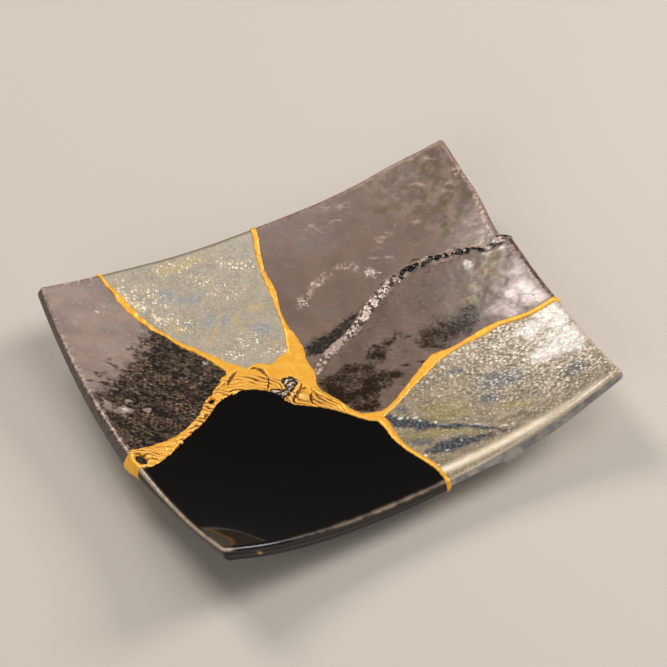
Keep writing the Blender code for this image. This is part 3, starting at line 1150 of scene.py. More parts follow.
class UmberGlaze(Finish):
    """Speckled black-brown under a mauve haze that is partly a painted broad reflection, rusty at
    the rim.
    """

    name = "umber_glaze"

    def paint(self) -> None:
        """Lay the haze, partly a painted broad reflection, over the dark glaze, then the pale
        patches, one of them a painted glint, the rim and the wall.
        """
        streaks = self.drawn_out(1.8)
        fine = self.noise(0.95, 4.0, streaks)
        clumps = self.noise(1.9, 3.0, streaks)
        broad = self.noise(5.0, 4.0, streaks)
        drift = self.noise(2.2, 4.0, streaks)
        tone = (fine * 0.5 + clumps * 0.5 + broad * 0.4).ease(0.59, 0.92)
        moss = self.noise(2.4).ease(0.5, 0.7)
        dots = self.flecks(1.0, 0.5, 0.4, streaks) * broad.ease(0.4, 0.62)
        dark = self.layers(
            (0.007, 0.005, 0.003),
            (tone, (0.115, 0.075, 0.048)),
            (moss * tone * 0.7, (0.085, 0.082, 0.052)),
            (dots * 0.7, (0.40, 0.25, 0.17)),
        )
        cloud = self.noise(9.0, 4.0, streaks).ease(0.32, 0.68)
        lilac = self.noise(4.0, 4.0, streaks).ease(0.48, 0.74)
        mauve = self.layers(
            (0.245, 0.185, 0.160),
            (cloud, (0.335, 0.242, 0.204)),
            (lilac * 0.5, (0.33, 0.285, 0.285)),
            (fine.ease(0.54, 0.74) * 0.4, (0.56, 0.42, 0.37)),
        )
        # Painted reflection: the haze lays in, as colour, part of a broad reflection of the light.
        haze_and_sheen_area = self.mark("haze")
        broken = (fine - 0.5) * 1.2 + (drift - 0.5) * 1.6
        haze = (haze_and_sheen_area * 0.95 + broken * (1.0 - haze_and_sheen_area * 0.6)).ease(0.1, 0.85)
        crumbs = self.noise(1.6).ease(0.4, 0.62)
        rust = self.mix(crumbs, (0.18, 0.10, 0.08), (0.56, 0.42, 0.36))
        wall = self.mix(crumbs * 0.5, (0.055, 0.042, 0.038), (0.12, 0.095, 0.085))
        colour = self.layers(
            dark,
            (haze, mauve),
            # The pale patches include one painted glint.
            (self.mark("pale") * drift.ease(0.36, 0.6), (0.86, 0.74, 0.66)),
            (self.rim(0.3, 2.6) * (crumbs * 0.5 + 0.4), rust),
            (self.mark("side") * self.mark("depth").ease(0.06, 0.26), wall),
        )
        self.set(
            Base_Color=colour,
            Roughness=0.26 + haze * 0.12 + fine * 0.1,
            Coat_Weight=0.25,
            Coat_Roughness=0.25,
            Normal=self.bump(self.noise(1.5, 4.0, streaks), 0.15),
        )


class CeladonGlaze(Finish):
    """Grey-green with blue and yellow clouds and a pale sparkle."""

    name = "celadon_glaze"

    def paint(self) -> None:
        """Lay the clouds and tints over the grey-green, then the sparkle, rim and wall."""
        streaks = self.drawn_out(1.25)
        cloud = self.noise(7.0, 4.0).ease(0.3, 0.7)
        slate = self.noise(2.6).ease(0.46, 0.68)
        rose = self.noise(3.4).ease(0.54, 0.74)
        cream = self.noise(0.9, 3.0, streaks).ease(0.44, 0.68)
        sparkle = self.mark("sparkle")
        frost = self.mark("frost")
        sparks = self.flecks(1.35, 0.5, 0.44, streaks) * (sparkle * 0.95 + 0.05)
        dust = self.flecks(0.85, 0.45, 0.42, streaks) * (sparkle * 0.6 + frost * 0.6 + 0.2)
        glow = self.noise(1.1, 2.0).ease(0.44, 0.56) * frost
        colour = self.layers(
            (0.335, 0.303, 0.24),
            (cloud, (0.435, 0.383, 0.297)),
            (self.mark("blue") * 0.85, (0.26, 0.30, 0.335)),
            (self.mark("yellow") * 0.7, (0.52, 0.40, 0.17)),
            (self.mark("line") * 0.8, (0.54, 0.37, 0.16)),
            (slate * 0.5, (0.30, 0.315, 0.32)),
            (rose * 0.45, (0.50, 0.37, 0.32)),
            (cream * 0.4, (0.64, 0.55, 0.42)),
            (dust.clamped(), (0.92, 0.68, 0.38)),
            (sparks, (1.0, 0.90, 0.70)),
            (glow, (1.0, 0.86, 0.58)),
            (self.rim(0.3, 2.0) * 0.8, (0.20, 0.155, 0.085)),
            (self.mark("side") * 0.6, (0.2, 0.17, 0.12)),
        )
        relief = self.noise(1.6, 3.0, streaks) + (sparks + dust) * 0.4
        self.set(
            Base_Color=colour,
            Roughness=0.32 - sparks * 0.16,
            Coat_Weight=0.35,
            Coat_Roughness=0.16,
            Normal=self.bump(relief, 0.16),
        )


class MauveGlaze(Finish):
    """Mauve-brown with olive blotches, pale streaks, painted glints, a painted shadow beside the
    lacquer seam and a worn, rusty rim.
    """

    name = "mauve_glaze"

    def paint(self) -> None:
        """Lay the tints, blotches, streaks and painted glints over the mauve, then the painted
        shadow and the rim.
        """
        streaks = self.drawn_out(2.0)
        fine = self.noise(1.7, 4.0, streaks)
        cloud = self.noise(15.0).ease(0.3, 0.7)
        tint = self.noise(9.0, 4.0, streaks).ease(0.46, 0.72)
        broken = self.noise(2.6, 4.0, streaks).ease(0.4, 0.62)
        olive = self.mark("olive") * (broken * 0.6 + 0.35)
        amber = self.mark("olive") * self.noise(1.9).ease(0.56, 0.7)
        buff = self.mark("worn") * self.noise(4.4).ease(0.44, 0.6)
        umber = self.mark("worn") * self.noise(5.6).ease(0.5, 0.62)
        pale = self.mark("pale") * fine.ease(0.40, 0.66)
        ridge = self.mark("ridge") * self.noise(1.5, 4.0).ease(0.44, 0.6)
        shine = self.mark("glint") * (self.flecks(1.1, 0.7, 0.5) + fine.ease(0.5, 0.62) * 0.4)
        # Painted shadow along the lacquer seam.
        soot_and_shadow = self.mark("soot_and_shadow") * 1.05 + (self.noise(1.2, 4.0) - 0.5) * 2.0
        crumbs = self.noise(1.8).ease(0.4, 0.6)
        rust = self.mix(crumbs, (0.34, 0.19, 0.13), (0.66, 0.46, 0.37))
        chips = self.mark("chips") * self.noise(1.3).ease(0.44, 0.62)
        side = self.mark("side")
        colour = self.layers(
            (0.160, 0.108, 0.087),
            (cloud, (0.206, 0.139, 0.108)),
            (tint * 0.55, (0.178, 0.142, 0.140)),
            (fine.ease(0.5, 0.8) * 0.25, (0.36, 0.265, 0.22)),
            (olive, (0.130, 0.095, 0.040)),
            (amber * 0.6, (0.34, 0.23, 0.10)),
            (buff * 0.55, (0.34, 0.25, 0.19)),
            (umber * 0.6, (0.145, 0.105, 0.06)),
            (pale * 0.6, (0.54, 0.40, 0.335)),
            # Partly a painted highlight along the ridge, then painted glints.
            (ridge * 0.6, (0.54, 0.41, 0.36)),
            (shine.clamped(), (1.0, 0.86, 0.70)),
            (soot_and_shadow.ease(0.2, 1.05), (0.014, 0.009, 0.006)),
            (self.rim(0.3, 2.6) * (0.7 - side * 0.5), rust),
            (chips * 0.8, (0.74, 0.57, 0.49)),
            (side * 0.6, (0.15, 0.075, 0.05)),
        )
        self.set(
            Base_Color=colour,
            Roughness=0.33 + pale * -0.06 + olive * 0.08,
            Coat_Weight=0.3,
            Coat_Roughness=0.25,
            Normal=self.bump(self.noise(2.6, 4.0, streaks), 0.12),
        )


class MauveLustreGlaze(Finish):
    """Mauve-brown mottled with black, with green patches and a painted lilac sheen towards the rim.
    """

    name = "mauve_lustre_glaze"

    def paint(self) -> None:
        """Lay the green patches, the painted lilac sheen and highlight and the white marks over the
        mauve, then the black mottling, the rim and the wall.
        """
        streaks = self.drawn_out(1.9)
        fine = self.noise(1.5, 4.0, streaks)
        cloud = self.noise(12.0).ease(0.3, 0.7)
        green = self.mark("green") * (fine.ease(0.36, 0.62) * 0.5 + 0.2)
        lime = self.noise(4.0, 2.0).ease(0.44, 0.56)
        moss = self.mix(lime, (0.36, 0.24, 0.115), (0.30, 0.32, 0.13))
        mottle = self.noise(1.2, 3.0, streaks).ease(0.36, 0.66)
        lilac = self.mark("lilac")
        bright = self.mark("bright")
        white = self.mark("white") * (fine.ease(0.34, 0.6) * 0.6 + 0.35)
        patchy = (self.noise(1.3, 4.0) - 0.5) * 1.7
        worn = (self.noise(4.6, 3.0, streaks) - 0.5) * 2.2
        black = (self.mark("black") * 0.95 + patchy + worn).ease(0.1, 1.15)
        crumbs = self.noise(1.5).ease(0.42, 0.62)
        crust = self.mix(crumbs, (0.045, 0.018, 0.012), (0.36, 0.23, 0.19))
        side = self.mark("side")
        colour = self.layers(
            (0.124, 0.084, 0.066),
            (cloud, (0.178, 0.121, 0.094)),
            (fine.ease(0.5, 0.8) * 0.26, (0.36, 0.265, 0.225)),
            (green, moss),
            # Painted highlight: the lilac sheen and its bright middle.
            (lilac * (mottle * 0.4 + 0.35), (0.68, 0.55, 0.56)),
            (bright * (mottle * 0.4 + 0.5), (1.0, 0.88, 0.84)),
            (white, (0.95, 0.84, 0.78)),
            (black, (0.018, 0.009, 0.002)),
            (self.rim(1.2, 5.4) * (0.85 - side * 0.4), crust),
            (side * 0.6, (0.10, 0.05, 0.035)),
        )
        self.set(
            Base_Color=colour,
            Roughness=0.34 - lilac * 0.08 + mottle * 0.06 - black * 0.12,
            Coat_Weight=0.25 - black * 0.25,
            Coat_Roughness=0.22,
            Normal=self.bump(self.noise(2.2, 4.0, streaks), 0.12),
        )


class OliveGlaze(Finish):
    """Grainy olive and cream with slate-blue runs, a cream band at the front and a painted white
    sheen at the right.
    """

    name = "olive_glaze"

    def paint(self) -> None:
        """Lay the crust and the painted sheen over the olive, then the runs, the band, the painted
        glints, the rim and the wall.
        """
        streaks = self.drawn_out(1.4)
        cloud = self.noise(7.0, 4.0).ease(0.32, 0.68)
        crust = self.noise(0.85, 3.0, streaks).ease(0.45, 0.64)
        blue = (self.mark("blue") * 1.3 + (self.noise(2.2) - 0.5) * 0.5).clamped()
        slate = self.mark("slate")
        glow = self.mark("glow")
        cream = self.mark("cream")
        drifts = self.noise(5.0, 4.0, streaks).ease(0.36, 0.62)
        bright = crust * (1.0 - blue * 0.95) * (1.0 - cream) * (drifts * 0.55 + 0.45)
        bright = bright * (1.0 - slate * 0.45)
        # The crumbs whiten with the glow, a painted highlight towards the right.
        crumb = self.mix(glow, (0.62, 0.46, 0.31), (1.0, 0.86, 0.72))
        dots = self.noise(1.3).ease(0.42, 0.68)
        mottled = self.mix(dots, (0.035, 0.04, 0.055), (0.155, 0.16, 0.175))
        yolk = self.noise(3.0).ease(0.42, 0.66)
        band = self.mix(yolk * 0.5, (0.98, 0.87, 0.70), (0.80, 0.60, 0.32))
        sparks = self.flecks(1.3, 0.45, 0.4, streaks) * (1.0 - blue) * (1.0 - cream)
        wash = self.noise(5.0).ease(0.35, 0.65)
        wall = self.mix(wash, (0.15, 0.155, 0.165), (0.35, 0.32, 0.295))
        side = self.mark("side")
        depth = self.mark("depth")
        colour = self.layers(
            (0.195, 0.162, 0.105),
            (cloud, (0.325, 0.27, 0.185)),
            (self.mark("olive") * 0.8, (0.285, 0.245, 0.09)),
            (slate * 0.85, (0.115, 0.125, 0.145)),
            (bright * (glow * 0.5 + 0.42), crumb),
            # Painted highlight: the white sheen.
            (self.mark("sheen") * (crust * 0.35 + 0.65), (1.0, 0.96, 0.90)),
            (blue * 0.92, mottled),
            (cream, band),
            # Painted glints.
            (self.mark("glint"), (1.0, 0.96, 0.88)),
            (sparks * (glow * 0.6 + 0.25), (1.0, 0.93, 0.82)),
            (self.rim(0.2, 1.5) * 0.6, (0.48, 0.39, 0.27)),
            (self.mark("tip") * 0.7, (0.62, 0.36, 0.27)),
            (side * depth.ease(0.12, 0.3), wall),
            (side * depth.ease(0.74, 0.95) * 0.8, (0.30, 0.18, 0.12)),
        )
        self.set(
            Base_Color=colour,
            Roughness=0.28 - blue * 0.12 + crust * 0.08,
            Coat_Weight=0.35,
            Coat_Roughness=0.16,
            Normal=self.bump(self.noise(1.2, 3.0, streaks), 0.15),
        )


class BlackGlaze(Finish):
    """Black with a mirror gloss, with painted highlights along the lips of the rim."""

    name = "black_glaze"

    def paint(self) -> None:
        """Lay the painted lip highlights, the line and the gold fleck over the black."""
        wear_and_highlight_breakup = self.noise(2.2).ease(0.3, 0.6)
        colour = self.layers(
            (0.0018, 0.0014, 0.0012),
            # Painted highlights: a tan line on the left lip and a broken line on the front lip.
            (self.mark("tan") * (wear_and_highlight_breakup * 0.4 + 0.6), (0.52, 0.40, 0.29)),
            (self.mark("lip") * 0.75, (0.46, 0.34, 0.24)),
            (self.mark("line") * 0.35, (0.22, 0.17, 0.14)),
            (self.mark("fleck"), (0.9, 0.55, 0.15)),
        )
        self.set(
            Base_Color=colour,
            Roughness=0.045 + wear_and_highlight_breakup * 0.02 + self.mark("lip_edge") * 0.22,
            Normal=self.bump(self.noise(24.0, 1.0), 0.25),
        )


class SeamGold(Finish):
    """Gold powder on lacquer, dark where the lacquer shows."""

    name = "seam_gold"

    def paint(self) -> None:
        """Paint shade into the valleys of the folds and highlights on their ridges and strands,
        then bare the lacquer with its painted highlights and paint the pits near-black as shade.
        """
        cloud = self.noise(3.5).ease(0.3, 0.7)
        dusty = self.noise(0.7, 2.0).ease(0.4, 0.7)
        valley = self.mark("valley")
        strand = self.mark("strand")
        brim = strand.ease(0.02, 0.25) * (1.0 - strand.ease(0.3, 0.75))
        gold = self.layers(
            (0.95, 0.43, 0.03),
            (cloud, (1.0, 0.52, 0.055)),
            (dusty * 0.25, (1.0, 0.66, 0.16)),
            # Painted highlight on the ridges of the folds, painted shade in their valleys and round
            # the strands, and painted highlight on the strands' tops.
            (self.mark("gleam") * 0.35, (1.0, 0.74, 0.30)),
            (valley * 0.85, (0.40, 0.14, 0.012)),
            (valley.ease(0.6, 1.0) * 0.85, (0.08, 0.025, 0.004)),
            (brim * 0.75, (0.40, 0.14, 0.012)),
            (strand.ease(0.8, 1.0) * 0.4, (1.0, 0.74, 0.30)),
            (self.mark("crease").ease(0.15, 0.9) * 0.9, (0.075, 0.028, 0.006)),
        )
        # Painted highlight on strands of the bare lacquer, broken up by noise.
        highlight_breakup = self.noise(1.0).ease(0.38, 0.6)
        strand_highlight = self.mix(highlight_breakup, (0.22, 0.13, 0.08), (0.90, 0.70, 0.54))
        lacquer = self.mix(self.mark("lacquer_highlight").ease(0.2, 0.8), (0.040, 0.020, 0.009), strand_highlight)
        bare = self.mark("bare").ease(0.15, 0.45)
        # Painted shade: the pits are near-black.
        hole = self.mark("hole").ease(0.3, 0.5)
        plain = (1.0 - bare) * (1.0 - hole)
        self.set(
            Base_Color=self.layers(gold, (bare, lacquer), (hole, (0.012, 0.008, 0.005))),
            Metallic=plain * 0.3,
            Roughness=0.22 + plain * 0.18 + dusty * 0.06 + hole * 0.4,
            Normal=self.bump(self.noise(0.9), 0.05),
        )


class SeamLacquer(Finish):
    """Lacquer beads: black and glossy, in dark valleys, with painted silvery or pinkish highlights
    on their tops.
    """

    name = "seam_lacquer"

    def paint(self) -> None:
        """Tone the valleys, and lay painted highlights on the tops of the beads over them."""
        fine = self.noise(0.9)
        bead = self.mark("bead")
        lacquer_highlight = self.mark("lacquer_highlight")
        pink = self.mark("pink")
        # Painted highlight on the tops of the beads.
        top = (bead + (fine - 0.5) * 0.8).ease(0.2, 0.7) * lacquer_highlight
        dots = bead.ease(0.93, 0.99) * self.noise(2.2, 2.0).ease(0.5, 0.6) * 0.12
        shine = top.most(dots)
        gaps = (1.0 - bead.ease(0.5, 0.85)) * (1.0 - lacquer_highlight)
        bead_highlight = self.layers(
            (0.40, 0.29, 0.24),
            (fine.ease(0.4, 0.64), (0.90, 0.77, 0.70)),
            (pink * 0.8, (0.42, 0.295, 0.245)),
        )
        colour = self.layers(
            (0.008, 0.007, 0.006),
            (gaps * (fine.ease(0.3, 0.5) * 0.4 + 0.5), (0.40, 0.28, 0.22)),
            (lacquer_highlight * 0.8, (0.085, 0.055, 0.042)),
            (pink * 0.8, (0.15, 0.095, 0.075)),
            (shine, bead_highlight),
        )
        self.set(
            Base_Color=colour,
            Roughness=0.14 + shine * 0.2,
            Metallic=shine * 0.15,
            Normal=self.bump(fine, 0.03),
        )


class FloorPaint(Finish):
    """The plain pale paint of the floor."""

    name = "floor_paint"

    def paint(self) -> None:
        """Set one even, dull colour."""
        self.set(Base_Color=(0.60, 0.56, 0.51), Roughness=0.8)


class Body(Enum):
    """The rigid body that pieces ride on."""

    PLATE = "root"


@dataclass
class Piece:
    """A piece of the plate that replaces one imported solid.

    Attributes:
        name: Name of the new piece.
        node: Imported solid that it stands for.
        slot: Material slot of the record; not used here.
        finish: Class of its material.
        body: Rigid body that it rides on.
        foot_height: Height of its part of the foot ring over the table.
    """

    name: str
    node: str
    slot: str
    finish: type[Finish] = Finish
    body: Body = Body.PLATE
    foot_height: float = 0.0

    def relief(self, places: Places) -> Array:
        """Return the height of the surface relief in millimetres."""
        raise NotImplementedError

    def sag(self, places: Places) -> Array:
        """Return how far each vertex hangs below the slab in millimetres."""
        return np.zeros(places.x.shape)

    def marks(self, places: Places) -> dict[str, Array]:
        """Number every vertex for the finish.

        Args:
            places: Where the vertices lie.

        Returns:
            How far each area of the piece covers the vertices, by the area's name.
        """
        own = {item.name: getattr(self, item.name) for item in fields(self)}
        areas = {name: value for name, value in own.items() if isinstance(value, Area)}
        return {name: area.straggle(places.x, places.y) for name, area in areas.items()}

    def shape(self, piece: bpy.types.Object, crown: Array) -> None:
        """Bend the flat piece, store its marks and smooth its round faces.

        Args:
            piece: The flat piece.
            crown: How far each vertex stands out of the slab, in millimetres.
        """
        flat = vertices_of(piece)
        points, places = FORM.bent(flat, crown, self.relief, self.sag, self.foot_height)
        put_vertices(piece, points)
        side = np.clip(places.out, 0.0, 1.0)
        marks = {"side": side, "rim": places.rim, "depth": places.depth, **self.marks(places)}
        for name, values in marks.items():
            add_attribute(piece, name, values)
        only(piece)
        bpy.ops.object.shade_smooth_by_angle(angle=SMOOTH_ANGLE)

    def dress(self, piece: bpy.types.Object) -> None:
        """Give the piece its name, material and place in the frame.

        Args:
            piece: The shaped piece.
        """
        piece.name = self.name
        piece.data.name = self.name
        piece.data.materials.clear()
        piece.data.materials.append(self.finish().material)
        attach(piece, self.body.value)
        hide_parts(self.node)
        LOG.info("%s: %d faces", self.name, len(piece.data.polygons))


@dataclass
class Shard(Piece):
    """A pottery shard.

    Attributes:
        anchor: A plan point well inside the shard, which picks its part of the grid.
        swell: Height of the broad swells of the glaze.
        seed: Number that picks the swells.
    """

    anchor: tuple[float, float] = (0.0, 0.0)
    swell: float = 0.12
    seed: int = 0

    def relief(self, places: Places) -> Array:
        """Return gentle swells, as on thrown and glazed clay."""
        return self.swell * (places.rough(17.0, 6.0, 0.35, self.seed) - 1.0)

    def build(self, flat: bpy.types.Object) -> None:
        """Thicken, bend and dress the part of the grid that is this shard.

        Args:
            flat: The flat part.
        """
        thicken(flat, SIDE_ROWS)
        self.shape(flat, np.zeros(len(flat.data.vertices)))
        self.dress(flat)


@dataclass
class UmberShard(Shard):
    """The brown-black shard at the back left, with a mauve haze that is partly a painted broad
    reflection.
    """

    finish: type[Finish] = UmberGlaze
    # The haze is partly the glaze's own mauve and partly a painted broad reflection of the light.
    haze: Area = Area(
        1.9,
        21,
        ((-87.5, 14.5, 13, 6, -10), (-83, 19.5, 8, 3.6), (-91.5, 19, 5, 12, 0), (-78, 12, 6, 2.6)),
        (
            Patch(
                (
                    (-46, 60), (-55.5, 52.5), (-60.5, 46), (-67, 41), (-73.9, 35.5), (-79.4, 31),
                    (-86, 27), (-92, 25), (-106, 24), (-106, 90), (-50, 96),
                ),
                5,
            ),
        ),
    )
    # Dark patches that take the haze out.
    soot_and_shadow: Area = Area(
        1.6,
        25,
        (
            (-80.5, 38.5, 7, 3), (-86.5, 34.5, 9, 4), (-91.5, 31, 6, 3.4), (-87, 29, 9, 3),
            (-76.5, 34, 8, 2.6), (-69, 43, 7, 2.4),
        ),
    )
    # The spot at (-43.7, 28) is a painted glint.
    pale: Area = Area(
        0.7,
        29,
        (
            (-86.2, 14.6, 6.5, 2.6, -15), (-43.7, 28, 3, 3), (-74, 62, 3.2, 1.4),
            (-70.5, 63.5, 2.2, 1),
        ),
    )

    def relief(self, places: Places) -> Array:
        """Raise the glaze.

        Args:
            places: Where the vertices lie.

        Returns:
            The swells, with low pimples where the glaze is dark.
        """
        dark = 1.0 - self.haze.cover(places.x, places.y)
        pimples = (0.03 + 0.07 * dark) * places.rough(1.7, 1.1, 0.6, 27)
        return super().relief(places) + pimples

    def marks(self, places: Places) -> dict[str, Array]:
        """Number every vertex for the finish.

        Args:
            places: Where the vertices lie.

        Returns:
            The numbers of the areas, with the dark marks taken out of the haze.
        """
        marks = super().marks(places)
        marks["haze"] = marks["haze"] * (1.0 - 0.65 * marks.pop("soot_and_shadow"))
        return marks


@dataclass
class CeladonMiddleShard(Shard):
    """The grey-green shard at the back edge, with fine pale sparkle."""

    finish: type[Finish] = CeladonGlaze
    blue: Area = Area(
        2,
        31,
        (
            (-32, 47.5, 9, 8), (-26.5, 43, 7, 7), (-36, 57, 12, 6), (-16, 34, 10, 8),
            (-44, 62, 12, 8),
        ),
    )
    yellow: Area = Area(
        2,
        35,
        (
            (-21, 41, 8, 8), (-10.5, 44, 7, 12, 60), (-47, 47, 12, 6), (-14, 27, 9, 5),
            (-30, 73, 40, 6, -3),
        ),
    )
    sparkle: Area = Area(
        2,
        39,
        (
            (-58, 68, 9, 16, 20), (-50, 62, 26, 14), (-46, 50, 26, 12), (-33, 72, 30, 9, -8),
            (-9, 65, 22, 9), (-22, 59, 34, 12), (-22, 31, 17, 12), (-33, 27, 18, 8),
            (-15, 22.5, 16, 5, 10),
        ),
    )
    frost: Area = Area(
        1.2,
        45,
        ((-60, 66, 5, 12, 20), (-57, 60, 9, 5), (-50.5, 52.5, 10, 3, -35), (-10, 20.5, 9, 2.6, 10)),
    )
    line: Area = Area(
        0.5,
        43,
        shapes=(
            Ribbon(
                (
                    (-38.9, 34.5, 1.2), (-33.9, 38.9, 1.8), (-30.1, 42.8, 1.6), (-27, 47.5, 1.6),
                    (-24.8, 52.5, 1),
                ),
            ),
        ),
    )

    def relief(self, places: Places) -> Array:
        """Return the swells with the fine bubbles that catch the light."""
        bubbles = np.maximum(places.rough(1.6, 1.05, 0.6, 46), 0.0)
        return super().relief(places) + 0.07 * bubbles


@dataclass
class MauveCornerShard(Shard):
    """The mauve-brown shard with the back right corner."""

    finish: type[Finish] = MauveGlaze
    # The ridge is raised in the relief; its pale colour is partly a painted highlight along it.
    ridge: Area = Area(
        0.9,
        51,
        shapes=(
            Ribbon(
                (
                    (3.5, 36, 3), (6.5, 39.4, 5.4), (11, 41, 4.6), (15, 44, 5.4), (21, 45.8, 5),
                    (28, 46.4, 4.6), (34, 43.6, 4.8), (38, 38.5, 5.6), (39, 33, 3.6),
                ),
            ),
        ),
    )
    # Painted glints: bright spots where the glaze ridge catches the light.
    glint: Area = Area(
        0.9,
        55,
        (
            (6.2, 39.2, 6, 3.6), (8, 36.9, 5, 2.4), (15.6, 44.2, 5, 3.4), (38, 38.5, 6, 4.6),
            (41, 36.5, 4, 2.4),
        ),
    )
    olive: Area = Area(
        2.4,
        59,
        (
            (78.5, 67, 16, 10), (79, 58, 11, 10), (80.3, 47.5, 8, 15, 0), (77, 41.5, 9, 7),
            (69.5, 63, 10, 8), (69, 53, 9, 4), (57, 60, 16, 6), (87, 60, 5, 14, 0),
        ),
    )
    pale: Area = Area(
        1.8,
        63,
        (
            (51, 49, 14, 3.6, 12), (56, 52, 8, 2.6, 12), (27.5, 68, 18, 5), (36, 66, 10, 3),
            (74, 60.5, 14, 4), (83, 55, 9, 5), (84, 68, 8, 6), (74, 72, 12, 3), (64, 49, 16, 4),
            (60, 42, 14, 3), (86, 36, 8, 7), (86.5, 28.5, 8, 5), (46, 41.5, 14, 3), (40, 71, 16, 3),
        ),
    )
    # Painted shadow: a dark band along the upper side of the raised lacquer seam, where its shade
    # falls.
    soot_and_shadow: Area = Area(
        0.9,
        65,
        ((1, 12.9, 9, 5), (-2.6, 8, 6, 6), (57, 33.5, 10, 1.8, -4), (72, 29.6, 9, 1.8, -10)),
        (
            Patch(
                (
                    (29, 25.6), (21, 23.8), (15, 22.4), (9.5, 21.2), (3, 20.2), (-3, 18.6),
                    (-4, 14), (2, 11.5), (10, 14), (18, 18.6), (25, 22.6),
                ),
                2.4,
            ),
        ),
    )
    chips: Area = Area(
        0.8,
        67,
        ((84, 25, 9, 4, 10), (90.5, 58, 4, 5)),
        (
            Ribbon(((90.4, 24, 2), (91.4, 36, 2.6), (92.2, 48, 2.6), (92.6, 60, 2.2))),
        ),
    )

    def relief(self, places: Places) -> Array:
        """Raise the glaze.

        Args:
            places: Where the vertices lie.

        Returns:
            The swells with one low ridge of glaze and a lumpy corner.
        """
        ridge = self.ridge.cover(places.x, places.y) * ease(-0.2, 0.5, places.grain(2.4, 52))
        corner = ease(50.0, 78.0, places.x) * ease(30.0, 55.0, places.y)
        lumps = corner * places.rough(5.5, 2.8, 0.5, 48)
        fine = places.grain(1.5, 50)
        return super().relief(places) + ridge * (0.1 + 0.09 * fine) + 0.16 * lumps + 0.02 * fine

    def marks(self, places: Places) -> dict[str, Array]:
        """Return the numbers of the areas, and where the corner is worn."""
        worn = ease(50.0, 72.0, places.x + 0.5 * (places.y - 55.0))
        return {**super().marks(places), "worn": worn}


@dataclass
class MauveSideShard(Shard):
    """The mauve-brown shard at the right edge, with black mottling and a painted lilac sheen."""

    finish: type[Finish] = MauveLustreGlaze
    black: Area = Area(
        1.6,
        71,
        ((28, -9.5, 7, 2.4), (34, -12.5, 8, 2.4), (36, 2, 8, 2)),
        (
            Patch(
                (
                    (-6, 1), (3, 2.6), (12, 1.2), (20, 3.4), (28, 7.2), (33, 7.4), (29, 3),
                    (23, -1.5), (17, -4.5), (20, -7.5), (25, -11), (22, -14.5), (17, -17.5),
                    (10, -19), (9, -24.5), (3, -27), (-2, -22), (-5, -16), (-7.5, -8),
                ),
                2.6,
            ),
            Patch(
                (
                    (39, -1), (44, 1), (52, 1.6), (58, 4), (64, 4), (66, -1), (63, -7), (56, -10),
                    (48, -10.5), (41, -9.5), (38, -5.5),
                ),
                4.2,
            ),
        ),
    )
    # Painted highlight: the lilac sheen of the light on the upswept rim.
    lilac: Area = Area(
        2.4,
        75,
        (
            (82.5, -4, 20, 18), (84.5, -11.5, 17, 10), (76, -9.5, 18, 11), (87, 5, 10, 12),
            (70, -8, 14, 9),
        ),
    )
    # Painted highlight: the brightest middle of that sheen.
    bright: Area = Area(
        2,
        77,
        ((85.5, -6, 13, 12), (88, -12.5, 10, 7), (79, -5, 8, 7)),
    )
    green: Area = Area(
        2,
        79,
        ((79, 12.5, 11, 10), (71.5, 8.5, 12, 10), (65.5, 3.5, 9, 7), (84, 16, 8, 6)),
    )
    white: Area = Area(
        0.9,
        83,
        ((73.8, 20, 5, 6.5, -10), (88, 18, 7, 4), (82, 20, 5, 2.2)),
    )

    def relief(self, places: Places) -> Array:
        """Return the swells, puckered towards the rim."""
        puckers = 0.11 * ease(58.0, 80.0, places.x) * places.rough(3.4, 1.7, 0.5, 68)
        return super().relief(places) + puckers + 0.02 * places.grain(1.4, 70)


